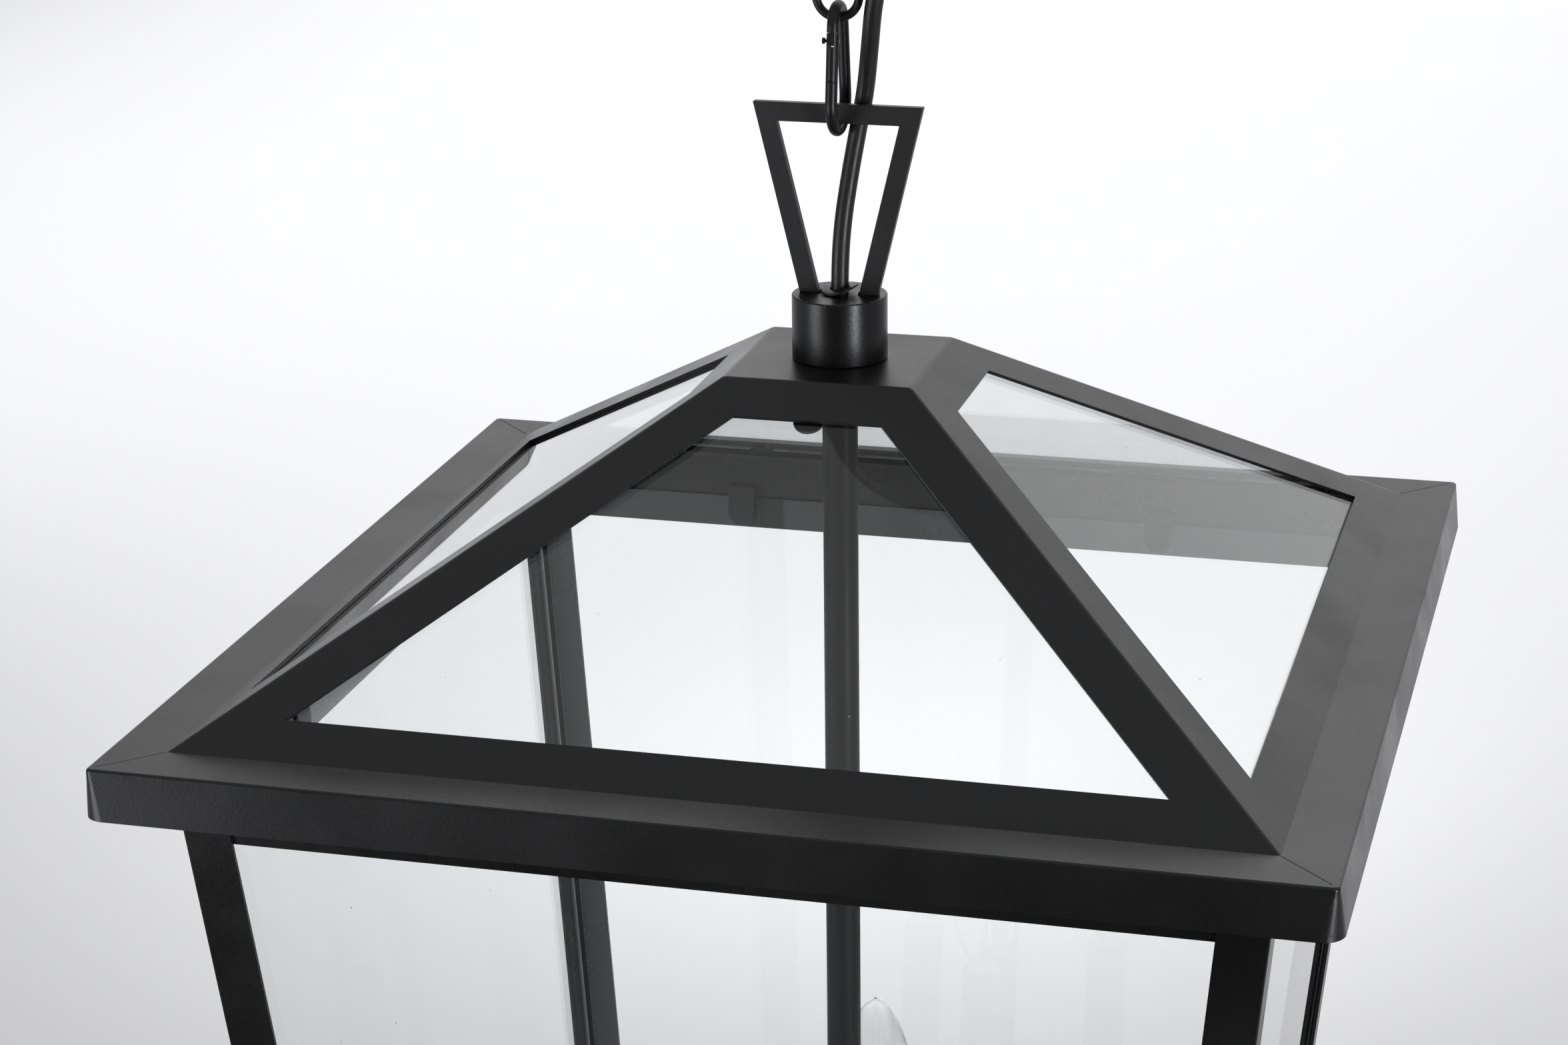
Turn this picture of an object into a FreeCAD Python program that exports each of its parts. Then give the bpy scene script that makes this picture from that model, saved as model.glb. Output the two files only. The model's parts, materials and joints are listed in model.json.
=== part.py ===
import FreeCAD, Part
import math
import os

# Hanging lantern: a square, tapering glass lantern with a hipped glazed roof, hung from a
# ceiling canopy by a short chain and a snap hook. Millimetres, +Z up. The origin is the
# centre of the mounting bar's top face, in the plane of the ceiling; everything hangs below.

V = FreeCAD.Vector
UP = V(0, 0, 1)
TAU_DEG = 360.0

# ---------------------------------------------------------------- driving dimensions
# Lantern body. Heights in this block are measured from the eave plane (top of the eave).
EAVE_HALF = 240.0           # half the width over the eave
EAVE_DROP = 20.5            # height of the eave's fascia
EAVE_FLARE = 2.3            # how far the fascia's lower edge stands out past its top
EAVE_CORNER_TOP = 2.0       # corner radius of the fascia at the top
EAVE_CORNER_LOW = 9.0       # corner radius at its lower edge, where the weld pulls it in
EAVE_BEND = 1.2             # rounding between the eave's top and its fascia
EAVE_INNER = 204.0          # half width of the square hole in the eave's top
SHEET = 1.5                 # folded steel sheet
GLASS = 3.0                 # glass panes
GLASS_GAP = 0.2             # play between a pane and the sheet it lies against

ROOF_BASE = 216.2           # half width of the roof at the eave
ROOF_TOP = 39.5             # half width of the flat top plate
ROOF_RISE = 113.3           # height of the top plate over the eave
ROOF_HIP_ROUND = 2.2        # rounding along the welded hips
PLATE_SIDE_ROUND = 5.0      # rounding of the top plate's left and right edges
BORDER = 20.0               # steel border round each roof window
BORDER_TOP = 21.0           # the border along the top of each window
PANE_LAP = 6.0              # how far a roof pane runs under its border

BODY_TOP = 216.7            # half width of the post frame at the eave plane
BODY_TAPER = 0.0993         # half width lost for each millimetre down
BODY_DEPTH = 450.0          # from the eave plane to the open bottom edge
POST_LEG = 20.0             # leg of a corner post's L section
TOP_RAIL_LOW = 38.6         # lower edge of the top rail, below the eave plane
BOTTOM_RAIL_TALL = 30.0     # bottom rail strip
BOTTOM_LIP = 12.0           # inward lip that the side panes stand on
PANE_TOP = 23.0             # top edge of the side panes, below the eave plane
PANE_SIDE = 8.0             # side panes stop this far from the body's corner

CLIP_WIDTH = 13.0           # bent tongues that hold the glass
CLIP_THICK = 1.0
CLIP_FOOT = 3.0             # how much of a clip is welded to the sheet beside the glass
CLIP_SPREAD = 102.5         # side pane clips stand this far each side of centre
UPPER_CLIP_TOP = 17.7       # top of the upper clips, below the eave plane
UPPER_CLIP_LOW = 36.7       # and the lower end of their tongues
LOWER_CLIP_TALL = 20.0
ROOF_CLIP_SPREAD = 90.0     # the clips at a roof pane's foot
ROOF_CLIP_STAND = 3.3       # a roof clip's foot starts this far outside the pane's edge
ROOF_CLIP_SHOWS = 3.4       # how far a head clip's tip shows in the window

# Hub, loop and grommet above the roof.
HUB_RADIUS = 20.0
HUB_TALL = 27.3
LOOP_TALL = 80.0            # loop height above the hub
LOOP_TOP_HALF = 36.0        # half the loop's outer width at its top bar
LOOP_FOOT_HALF = 16.8       # half the loop's outer width where it meets the hub
LOOP_BAR = 8.0              # width of the loop's flat bar
LOOP_PLATE = 3.6            # thickness of the plate it is cut from
CABLE_RADIUS = 3.7

# Chain and snap hook.
CONTACT_GAP = 0.35          # play left between two hung wires
CHAIN_LINKS = 2             # the lowest link lies across X, and the others cross by turns
LINK_WIRE = 1.8             # radius of the chain's wire
LINK_LENGTH = 36.0          # outer length of a link
LINK_BEND = 9.0             # centre-line radius of a link's ends
HOOK_WIRE = 2.5
HOOK_LENGTH = 56.0
HOOK_BEND_TOP = 8.0         # centre-line radius of the hook's upper bend
HOOK_BEND_LOW = 12.0        # and of its lower bend
GATE_PIVOT_UP = 25.8        # the gate's rivet above the hook's lowest point
GATE_TOP_UP = 44.2          # where the gate meets the hook's nose
GATE_RIVET = 0.8            # radius
GATE_END_GAP = 0.25         # between the gate and the hook, at both of its ends
RIVET_PLAY = 0.05
TONGUE_HALF = 0.9           # half thickness of the hook's two flattened tongues
TONGUE_PLAY = 0.2           # gap round them in the gate's slots
TONGUE_ROOT = 1.5           # how far a tongue runs into the round wire
RIVET_TONGUE = 1.6          # radius of the lower tongue, about the rivet
LATCH_LONG = 5.3            # length of the upper tongue, on the nose
LATCH_FRONT = 2.1           # its reach outwards from the gate's axis
LATCH_BACK = 1.5            # and inwards
LATCH_NOTCH = 1.1           # half height of the notch that takes the gate's cross pin
PIN_RADIUS = 0.65
PIN_DOWN = 3.4              # the cross pin below the end of the nose
PIN_LEFT = 4.2              # its reach to the left of the gate's axis, where it has a knob
PIN_RIGHT = 2.8             # and to the right, where its head lies on the gate
PIN_HEAD = 1.3              # radius of the knob and the head
PIN_HEAD_THICK = 0.9
EYE_WIRE = 2.5              # wire radius of the fixed loop under the canopy
EYE_BEND = 10.0

# Ceiling fitting.
CANOPY_RADIUS = 60.0
CANOPY_DEPTH = 24.0
CANOPY_BEND = 9.0
CANOPY_SHEET = 1.2
BAR_LENGTH = 110.0
BAR_WIDTH = 20.0
BAR_THICK = 2.5
BAR_CORNER = 4.0
SLOT_SPACING = 88.9
SLOT_RADIUS = 2.4
SLOT_LENGTH = 14.0
THREAD_RADIUS = 5.0         # M10 threaded tube, used at the ceiling and under the hub
THREAD_BORE = 3.5
THREAD_PLAY = 0.05
GLAND_X = 26.0              # the cable's gland, beside the centre of the canopy
GLAND_DROP = 12.0

# Lamp cluster.
STEM_RADIUS = 7.5
STEM_WALL = 1.5
LAMPS = 3
LAMP_CIRCLE = 60.0          # radius of the circle the lamps stand on
FIRST_LAMP_ANGLE = 90.0
BULB_TIP = -210.6           # height of the bulb tips from the eave plane
BULB_GLASS_LONG = 72.0
BULB_RADIUS = 17.5
BULB_NECK_RADIUS = 7.2
BULB_WALL = 0.8
LAMP_BASE_RADIUS = 6.9
LAMP_BASE_LONG = 24.0
HOLDER_RADIUS = 9.2
HOLDER_WALL = 1.9
HOLDER_LONG = 38.0
SLEEVE_RADIUS = 11.0
SLEEVE_WALL = 1.2
SLEEVE_LONG = 85.0
CUP_RADIUS = 17.0
CUP_TALL = 8.0
ARM_RADIUS = 4.0
ARM_BEND = 16.0
CLUSTER_RADIUS = 18.0
CLUSTER_TALL = 26.0

# ---------------------------------------------------------------- heights down the chain
CANOPY_FACE = -CANOPY_DEPTH
COLLAR_TALL = 5.0
BOSS_TALL = 8.0
EYE_CENTRE = CANOPY_FACE - COLLAR_TALL - BOSS_TALL - EYE_BEND - EYE_WIRE + 2.0
EYE_LOW = EYE_CENTRE - EYE_BEND
LINK_INNER = LINK_LENGTH - 4 * LINK_WIRE


def hang_below(parent_low, parent_wire, child_inner_length, child_wire):
    """Lowest centre-line height of a ring that hangs on a wire at parent_low."""
    inner_top = parent_low + parent_wire + CONTACT_GAP
    return inner_top - child_inner_length - child_wire


LINK_LOWS = []
_low = EYE_LOW
_wire = EYE_WIRE
for _number in range(CHAIN_LINKS):
    _low = hang_below(_low, _wire, LINK_INNER, LINK_WIRE)
    _wire = LINK_WIRE
    LINK_LOWS.append(_low)
HOOK_LOW = hang_below(LINK_LOWS[-1], LINK_WIRE, HOOK_LENGTH - 4 * HOOK_WIRE, HOOK_WIRE)
LOOP_BAR_UNDERSIDE = HOOK_LOW + HOOK_WIRE + CONTACT_GAP

# Heights of the lantern in the whole frame.
EAVE_Z = LOOP_BAR_UNDERSIDE + LOOP_BAR - LOOP_TALL - HUB_TALL - ROOF_RISE
PLATE_Z = EAVE_Z + ROOF_RISE
HUB_TOP_Z = PLATE_Z + HUB_TALL

# The stem's nipple, and the lamps above the cluster.
NIPPLE_LOW_Z = PLATE_Z - 20.0
NIPPLE_TOP_Z = PLATE_Z + 13.7
NUT_TALL = 5.0
STEM_TOP_Z = PLATE_Z - SHEET - NUT_TALL
BULB_TIP_Z = EAVE_Z + BULB_TIP
BULB_SEAT_Z = BULB_TIP_Z - BULB_GLASS_LONG
SLEEVE_TOP_Z = BULB_SEAT_Z - 3.0
SLEEVE_LOW_Z = SLEEVE_TOP_Z - SLEEVE_LONG
CUP_LOW_Z = SLEEVE_LOW_Z - 1.5
ARM_LEVEL_Z = CUP_LOW_Z - 14.0 - ARM_BEND
CLUSTER_LOW_Z = ARM_LEVEL_Z - CLUSTER_TALL / 2

# The cable's route, hand-set as offsets from the hub's top: straight up out of the hub,
# leaning behind the loop's bar, past the hook and up to its own gland in the canopy.
CABLE_ROUTE = [
    V(0.0, 0.0, NIPPLE_TOP_Z),
    V(0.0, 0.0, HUB_TOP_Z + 7.0),
    V(1.0, 1.3, HUB_TOP_Z + 28.5),
    V(3.4, 4.7, HUB_TOP_Z + 48.5),
    V(6.5, 7.6, HUB_TOP_Z + 68.5),
    V(9.8, 7.1, HUB_TOP_Z + 84.0),
    V(12.8, 2.2, HUB_TOP_Z + 103.0),
    V(16.2, -4.2, HUB_TOP_Z + 124.5),
    V(22.0, -4.4, HUB_TOP_Z + 148.0),
    V(GLAND_X, 0.0, HUB_TOP_Z + 171.0),
    V(GLAND_X, 0.0, CANOPY_FACE - GLAND_DROP),
]

SIDES = {"front": 0.0, "right": 90.0, "back": 180.0, "left": 270.0}
CORNERS = {"front_left": 0.0, "front_right": 90.0, "back_right": 180.0, "back_left": 270.0}


# ---------------------------------------------------------------- helpers
def turned(shape, degrees):
    """A copy of shape turned about the vertical axis."""
    copy = shape.copy()
    copy.rotate(V(0, 0, 0), UP, degrees)
    return copy


def face_of(points):
    """Flat face through points."""
    return Part.Face(Part.makePolygon(points + [points[0]]))


def loft(low, high):
    """Straight-sided solid between two closed wires."""
    return Part.makeLoft([low, high], True, True)


def cylinder(radius, low, high, x=0.0, y=0.0):
    """Upright cylinder between two heights."""
    return Part.makeCylinder(radius, high - low, V(x, y, low), UP)


def tube(outer, inner, low, high, x=0.0, y=0.0):
    """Upright tube between two heights."""
    return cylinder(outer, low, high, x, y).cut(cylinder(inner, low, high, x, y))


def hex_prism(across_flats, low, high):
    """Upright hexagonal prism."""
    corner = across_flats / math.sqrt(3)
    points = []
    for step in range(6):
        angle = math.radians(60 * step)
        points.append(V(corner * math.cos(angle), corner * math.sin(angle), low))
    return face_of(points).extrude(V(0, 0, high - low))


def revolved(profile):
    """Solid of revolution about Z from (radius, height) points joined by straight lines."""
    points = [V(radius, 0, height) for radius, height in profile]
    return face_of(points).revolve(V(0, 0, 0), UP, TAU_DEG)


def square_wire(half, height):
    """Square outline centred on the axis."""
    points = [V(-half, -half, height), V(half, -half, height)]
    points += [V(half, half, height), V(-half, half, height)]
    return Part.makePolygon(points + [points[0]])


def frustum(half_low, low, half_high, high):
    """Solid square frustum."""
    return loft(square_wire(half_low, low), square_wire(half_high, high))


def rounded_square_wire(half, radius, height):
    """Square outline with round corners."""
    flat = half - radius
    bulge = flat + radius * math.sqrt(0.5)
    edges = []
    for turn in range(4):
        line = Part.LineSegment(V(-flat, -half, height), V(flat, -half, height)).toShape()
        arc = Part.Arc(V(flat, -half, height), V(bulge, -bulge, height), V(half, -flat, height))
        for edge in (line, arc.toShape()):
            edges.append(turned(edge, 90.0 * turn))
    return Part.Wire(edges)


def body_half(depth):
    """Half width of the tapering body at a depth below the eave plane."""
    return BODY_TOP - BODY_TAPER * depth


def side_strip(top, low, outset, inset, start, stop):
    """Strip in the front side of the body, leaning with it, between two depths.

    outset and inset are the depths of its two faces behind the body's outer face.
    start and stop are the x of its ends, as functions of the body's half width.
    """
    wires = []
    for depth in (low, top):
        half = body_half(depth)
        height = EAVE_Z - depth
        left, right = start(half), stop(half)
        front, back = outset - half, inset - half
        points = [V(left, front, height), V(right, front, height)]
        points += [V(right, back, height), V(left, back, height)]
        wires.append(Part.makePolygon(points + [points[0]]))
    return loft(wires[0], wires[1])


def link_across_x(number):
    """True if link number, counted from 0 at the top, lies in the XZ plane."""
    return (CHAIN_LINKS - 1 - number) % 2 == 0


def ring_link(low, length, wire, bend, across_x):
    """Oval ring of round wire, hanging down to the centre-line height low."""
    straight = length - 2 * wire - 2 * bend
    normal = V(0, -1, 0) if across_x else V(1, 0, 0)
    side = V(1, 0, 0) if across_x else V(0, 1, 0)
    bottom = V(0, 0, low + bend)
    top = V(0, 0, low + bend + straight)
    ring = Part.makeTorus(bend, wire, bottom, normal)
    other = Part.makeTorus(bend, wire, top, normal)
    reach = bend + 2 * wire
    corner = V(2 * reach, 2 * reach, 0)
    lower_half = Part.makeBox(4 * reach, 4 * reach, 2 * reach, bottom - corner - V(0, 0, 2 * reach))
    upper_half = Part.makeBox(4 * reach, 4 * reach, 2 * reach, top - corner)
    pieces = [ring.common(lower_half), other.common(upper_half)]
    if straight > 0:
        for sign in (-1, 1):
            pieces.append(Part.makeCylinder(wire, straight, bottom + side * (sign * bend), UP))
    solid = pieces[0].fuse(pieces[1:])
    return solid.removeSplitter()


# ---------------------------------------------------------------- ceiling fitting
def mounting_bar():
    """Flat steel bar screwed to the ceiling box through its two slots."""
    corner = V(-BAR_LENGTH / 2, -BAR_WIDTH / 2, -BAR_THICK)
    bar = Part.makeBox(BAR_LENGTH, BAR_WIDTH, BAR_THICK, corner)
    bar = bar.makeFillet(BAR_CORNER, [edge for edge in bar.Edges if upright(edge)])
    bar = bar.cut(cylinder(THREAD_RADIUS + THREAD_PLAY, -BAR_THICK, 0))
    reach = SLOT_LENGTH / 2 - SLOT_RADIUS
    for sign in (-1, 1):
        middle = sign * SLOT_SPACING / 2
        corner = V(middle - reach, -SLOT_RADIUS, -BAR_THICK)
        slot = Part.makeBox(2 * reach, 2 * SLOT_RADIUS, BAR_THICK, corner)
        slot = slot.fuse(cylinder(SLOT_RADIUS, -BAR_THICK, 0, middle - reach))
        slot = slot.fuse(cylinder(SLOT_RADIUS, -BAR_THICK, 0, middle + reach))
        bar = bar.cut(slot.removeSplitter())
    return bar


def upright(edge):
    """True for a straight edge parallel to Z."""
    if not isinstance(edge.Curve, Part.Line):
        return False
    return abs(abs(edge.Curve.Direction.z) - 1) < 1e-6


def bar_nipple():
    """M10 threaded tube from the bar down into the loop's boss."""
    return tube(THREAD_RADIUS, THREAD_BORE, CANOPY_FACE - COLLAR_TALL - BOSS_TALL + 1.0, -0.5)


def bar_lock_nut():
    """Hexagon nut that locks the nipple under the bar."""
    low = -BAR_THICK - 4.0
    return hex_prism(17.0, low, -BAR_THICK).cut(cylinder(THREAD_RADIUS + THREAD_PLAY, low, -BAR_THICK))


def canopy_profile(inset):
    """Closed outline of the canopy's filled shape, inset from its outer skin."""
    rim = CANOPY_RADIUS - inset
    face = CANOPY_FACE + inset
    bend = CANOPY_BEND - inset
    centre = V(rim - bend, 0, face + bend)
    middle = centre + V(bend * math.sqrt(0.5), 0, -bend * math.sqrt(0.5))
    edges = [
        Part.LineSegment(V(0, 0, 0), V(rim, 0, 0)).toShape(),
        Part.LineSegment(V(rim, 0, 0), V(rim, 0, centre.z)).toShape(),
        Part.Arc(V(rim, 0, centre.z), middle, V(centre.x, 0, face)).toShape(),
        Part.LineSegment(V(centre.x, 0, face), V(0, 0, face)).toShape(),
        Part.LineSegment(V(0, 0, face), V(0, 0, 0)).toShape(),
    ]
    return Part.Face(Part.Wire(edges))


def ceiling_canopy():
    """Pressed steel dish that covers the ceiling box."""
    outer = canopy_profile(0.0).revolve(V(0, 0, 0), UP, TAU_DEG)
    inner = canopy_profile(CANOPY_SHEET).revolve(V(0, 0, 0), UP, TAU_DEG)
    dish = outer.cut(inner)
    dish = dish.cut(cylinder(THREAD_RADIUS + 0.25, CANOPY_FACE - 1, CANOPY_FACE + 3))
    return dish.cut(cylinder(THREAD_RADIUS + 0.25, CANOPY_FACE - 1, CANOPY_FACE + 3, GLAND_X))


def terminal_block():
    """Three-way terminal block inside the canopy, with its screw wells."""
    length, width, tall = 30.0, 17.0, 13.0
    low = CANOPY_FACE + CANOPY_SHEET + 0.3
    block = Part.makeBox(length, width, tall, V(-length / 2, 18.0, low))
    for step in (-1, 0, 1):
        block = block.cut(cylinder(2.2, low + tall - 6.0, low + tall, step * 10.0, 18.0 + width / 2))
    return block


def canopy_cable_gland():
    """Screwed gland that grips the cable where it enters the canopy."""
    low = CANOPY_FACE - GLAND_DROP
    inside = CANOPY_FACE + CANOPY_SHEET
    profile = [(0, low), (5.2, low), (7.4, low + 3.0), (7.4, low + 7.0), (8.6, low + 7.6)]
    profile += [(8.6, CANOPY_FACE), (THREAD_RADIUS, CANOPY_FACE), (THREAD_RADIUS, inside)]
    profile += [(8.0, inside), (8.0, inside + 4.0), (3.4, inside + 4.0)]
    profile += [(3.4, inside + 5.5), (0, inside + 5.5)]
    gland = revolved(profile)
    gland.translate(V(GLAND_X, 0, 0))
    return gland


def screw_collar():
    """Knurled collar that holds the canopy up against the ceiling."""
    low = CANOPY_FACE - COLLAR_TALL
    collar = cylinder(13.0, low, CANOPY_FACE)
    groove = cylinder(0.55, low, CANOPY_FACE, 13.2)
    for step in range(30):
        collar = collar.cut(turned(groove, step * TAU_DEG / 30))
    return collar.cut(cylinder(THREAD_RADIUS + THREAD_PLAY, low, CANOPY_FACE))


def canopy_loop():
    """Cast loop with a threaded boss; the chain hangs in its ring."""
    boss_top = CANOPY_FACE - COLLAR_TALL
    boss_low = boss_top - BOSS_TALL
    profile = [(0, boss_low - 2.0), (6.0, boss_low - 2.0), (9.0, boss_low + 2.0), (9.0, boss_top)]
    boss = revolved(profile + [(0, boss_top)])
    normal = V(1, 0, 0) if link_across_x(0) else V(0, -1, 0)
    ring = Part.makeTorus(EYE_BEND, EYE_WIRE, V(0, 0, EYE_CENTRE), normal)
    bore = cylinder(THREAD_RADIUS + THREAD_PLAY, boss_low + 1.0, boss_top)
    return boss.fuse(ring).cut(bore).removeSplitter()


def supply_cable():
    """Round cable as straight runs joined by tangent arcs."""
    edges, radii = [], []
    here = CABLE_ROUTE[0]
    for before, corner, after in zip(CABLE_ROUTE, CABLE_ROUTE[1:], CABLE_ROUTE[2:]):
        run_in, run_out = corner - before, after - corner
        shorter = min(run_in.Length, run_out.Length)
        half_turn = run_in.getAngle(run_out) / 2
        setback = 0.45 * shorter
        radius = setback / math.tan(half_turn)
        way_in, way_out = V(run_in).normalize(), V(run_out).normalize()
        start = corner - way_in * setback
        end = corner + way_out * setback
        to_centre = (way_out - way_in).normalize()
        middle = corner + to_centre * (radius / math.cos(half_turn) - radius)
        edges.append(Part.LineSegment(here, start).toShape())
        edges.append(Part.Arc(start, middle, end).toShape())
        radii.append(round(radius, 1))
        here = end
    edges.append(Part.LineSegment(here, CABLE_ROUTE[-1]).toShape())
    path = Part.Wire(edges)
    first = (CABLE_ROUTE[1] - CABLE_ROUTE[0]).normalize()
    ring = Part.Wire(Part.makeCircle(CABLE_RADIUS, CABLE_ROUTE[0], first))
    cable = path.makePipeShell([ring], True, False)
    ratio = cable.Volume / (math.pi * CABLE_RADIUS ** 2 * path.Length)
    print("cable bend radii", radii, "for a diameter of", 2 * CABLE_RADIUS)
    print("cable length", round(path.Length, 1), "volume over section times length", round(ratio, 4))
    return cable


# ---------------------------------------------------------------- chain and snap hook
def chain_link(number):
    """One link, counted from 0 at the top."""
    return ring_link(LINK_LOWS[number], LINK_LENGTH, LINK_WIRE, LINK_BEND, link_across_x(number))


def hook_lean():
    """Angle of the hook's straight sides from the vertical."""
    span = HOOK_LENGTH - 2 * HOOK_WIRE - HOOK_BEND_TOP - HOOK_BEND_LOW
    return math.asin((HOOK_BEND_LOW - HOOK_BEND_TOP) / span)


def hook_side_point(height_up, side):
    """Point of the hook's straight side at a height over its lowest point."""
    lean = hook_lean()
    base_up = HOOK_WIRE + HOOK_BEND_LOW + HOOK_BEND_LOW * math.sin(lean)
    out = HOOK_BEND_LOW * math.cos(lean) - (height_up - base_up) * math.tan(lean)
    return V(0, side * out, HOOK_LOW - HOOK_WIRE + height_up)


def hook_wire_path():
    """Centre line of the hook's wire, open along the gate on its front side."""
    lean = hook_lean()
    low_centre = V(0, 0, HOOK_LOW + HOOK_BEND_LOW)
    top_centre = V(0, 0, HOOK_LOW + HOOK_LENGTH - 2 * HOOK_WIRE - HOOK_BEND_TOP)
    across, rise = math.cos(lean), math.sin(lean)
    gate_low = hook_side_point(GATE_PIVOT_UP - GATE_END_GAP, -1)
    gate_high = hook_side_point(GATE_TOP_UP, -1)
    tangents = []
    for centre, bend in ((low_centre, HOOK_BEND_LOW), (top_centre, HOOK_BEND_TOP)):
        for side in (-1, 1):
            tangents.append(centre + V(0, side * bend * across, bend * rise))
    front_low, back_low, front_top, back_top = tangents
    lowest = low_centre - V(0, 0, HOOK_BEND_LOW)
    highest = top_centre + V(0, 0, HOOK_BEND_TOP)
    edges = [
        Part.LineSegment(gate_high, front_top).toShape(),
        Part.Arc(front_top, highest, back_top).toShape(),
        Part.LineSegment(back_top, back_low).toShape(),
        Part.Arc(back_low, lowest, front_low).toShape(),
    ]
    if gate_low.z > front_low.z + 0.2:
        edges.append(Part.LineSegment(front_low, gate_low).toShape())
    return Part.Wire(edges), gate_high, (gate_high - front_top).normalize()


def on_gate_axis(shape):
    """A shape made about the origin, leaned with the gate and moved to its rivet."""
    shape.rotate(V(0, 0, 0), V(-1, 0, 0), math.degrees(hook_lean()))
    shape.translate(hook_side_point(GATE_PIVOT_UP, -1))
    return shape


def gate_block(half_width, front, back, low, high):
    """Box about the gate's axis, between two distances up from the rivet."""
    corner = V(-half_width, front, low)
    return on_gate_axis(Part.makeBox(2 * half_width, back - front, high - low, corner))


def gate_rod(radius, low, high):
    """Round rod on the gate's axis, between two distances up from the rivet."""
    return on_gate_axis(Part.makeCylinder(radius, high - low, V(0, 0, low), UP))


def cross_bar(radius, left, right, up=0.0):
    """Round bar square to the hook, through the gate's axis at a distance up from the rivet."""
    return on_gate_axis(Part.makeCylinder(radius, right - left, V(left, 0, up), V(1, 0, 0)))


def gate_length():
    """Distance from the gate's rivet to the end of the hook's nose."""
    return (GATE_TOP_UP - GATE_PIVOT_UP) / math.cos(hook_lean())


def rivet_hole(radius):
    """Bar that cuts the rivet's hole through the whole wire."""
    return cross_bar(radius, -2 * HOOK_WIRE, 2 * HOOK_WIRE)


def rivet_tongue():
    """Flat round end of the hook's lower arm; the gate's fork turns on it."""
    disc = cross_bar(RIVET_TONGUE, -TONGUE_HALF, TONGUE_HALF)
    neck_half = RIVET_TONGUE - TONGUE_PLAY
    neck = gate_block(TONGUE_HALF, -neck_half, neck_half, -HOOK_WIRE - TONGUE_ROOT, 0.0)
    return disc.fuse(neck)


def latch_tongue():
    """Flat end of the hook's nose, notched on its inner side for the gate's cross pin."""
    end = gate_length()
    tongue = gate_block(TONGUE_HALF, -LATCH_FRONT, LATCH_BACK, end - LATCH_LONG, end + TONGUE_PLAY)
    pin_up = end - PIN_DOWN
    notch_front = -PIN_RADIUS - TONGUE_PLAY
    notch = gate_block(2 * TONGUE_HALF, notch_front, HOOK_WIRE, pin_up - LATCH_NOTCH, pin_up + LATCH_NOTCH)
    return tongue.cut(notch)


def snap_hook():
    """Snap hook bent from round wire, with a tongue for the rivet and one for the latch."""
    path, nose, direction = hook_wire_path()
    ring = Part.Wire(Part.makeCircle(HOOK_WIRE, nose, direction))
    wire = path.makePipeShell([ring], True, False)
    saddle = cross_bar(HOOK_WIRE + GATE_END_GAP, -2 * HOOK_WIRE, 2 * HOOK_WIRE)
    body = wire.cut(saddle).fuse([rivet_tongue(), latch_tongue()])
    return body.cut(rivet_hole(GATE_RIVET)).removeSplitter()


def latch_pin():
    """Pin across the gate, with a knob on its left; the nose's notch holds it under load."""
    up = gate_length() - PIN_DOWN
    stem = cross_bar(PIN_RADIUS, -PIN_LEFT, PIN_RIGHT, up)
    knob = cross_bar(PIN_HEAD, -PIN_LEFT, PIN_HEAD_THICK - PIN_LEFT, up)
    head = cross_bar(PIN_HEAD, PIN_RIGHT - PIN_HEAD_THICK, PIN_RIGHT, up)
    return stem.fuse([knob, head])


def hook_gate():
    """Sprung gate: hollow over the rivet's tongue, closed in front, and slotted over the latch."""
    gate = gate_rod(HOOK_WIRE, 0.0, gate_length() - GATE_END_GAP)
    knuckle = cross_bar(HOOK_WIRE, -HOOK_WIRE, HOOK_WIRE)
    gate = gate.fuse(knuckle.common(gate_rod(HOOK_WIRE, -HOOK_WIRE, HOOK_WIRE)))
    half_gap = TONGUE_HALF + TONGUE_PLAY
    through = 2 * HOOK_WIRE
    room = RIVET_TONGUE + TONGUE_PLAY
    hollow = gate_block(half_gap, -room, through, -through, room)
    slot_low = gate_length() - LATCH_LONG - 2 * GATE_END_GAP
    latch_slot = gate_block(half_gap, -through, through, slot_low, gate_length() + TONGUE_PLAY)
    gate = gate.cut(hollow).cut(latch_slot).fuse(latch_pin())
    return gate.cut(rivet_hole(GATE_RIVET + RIVET_PLAY)).removeSplitter()


def gate_rivet():
    """Rivet through the gate's fork and the hook's tongue."""
    reach = HOOK_WIRE - 2 * RIVET_PLAY
    return cross_bar(GATE_RIVET, -reach, reach)


# ---------------------------------------------------------------- loop, hub and nipple
def trapezoid_plate(inset, overrun):
    """Upright plate in the loop's outline, inset all round, run on at the foot."""
    slope = (LOOP_TOP_HALF - LOOP_FOOT_HALF) / LOOP_TALL
    sideways = inset * math.hypot(1, slope)
    top = LOOP_TALL - inset
    top_half = LOOP_FOOT_HALF + slope * top - sideways
    foot_half = LOOP_FOOT_HALF - slope * overrun - sideways
    half_plate = LOOP_PLATE / 2
    points = [V(-foot_half, -half_plate, -overrun), V(foot_half, -half_plate, -overrun)]
    points += [V(top_half, -half_plate, top), V(-top_half, -half_plate, top)]
    plate = face_of(points).extrude(V(0, LOOP_PLATE, 0))
    plate.translate(V(0, 0, HUB_TOP_Z))
    return plate


def hanging_loop():
    """Loop cut from flat plate, its feet welded to the hub."""
    loop = trapezoid_plate(0.0, 0.0).cut(trapezoid_plate(LOOP_BAR, 5.0))
    return loop.makeFillet(0.35, loop.Edges)


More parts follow.
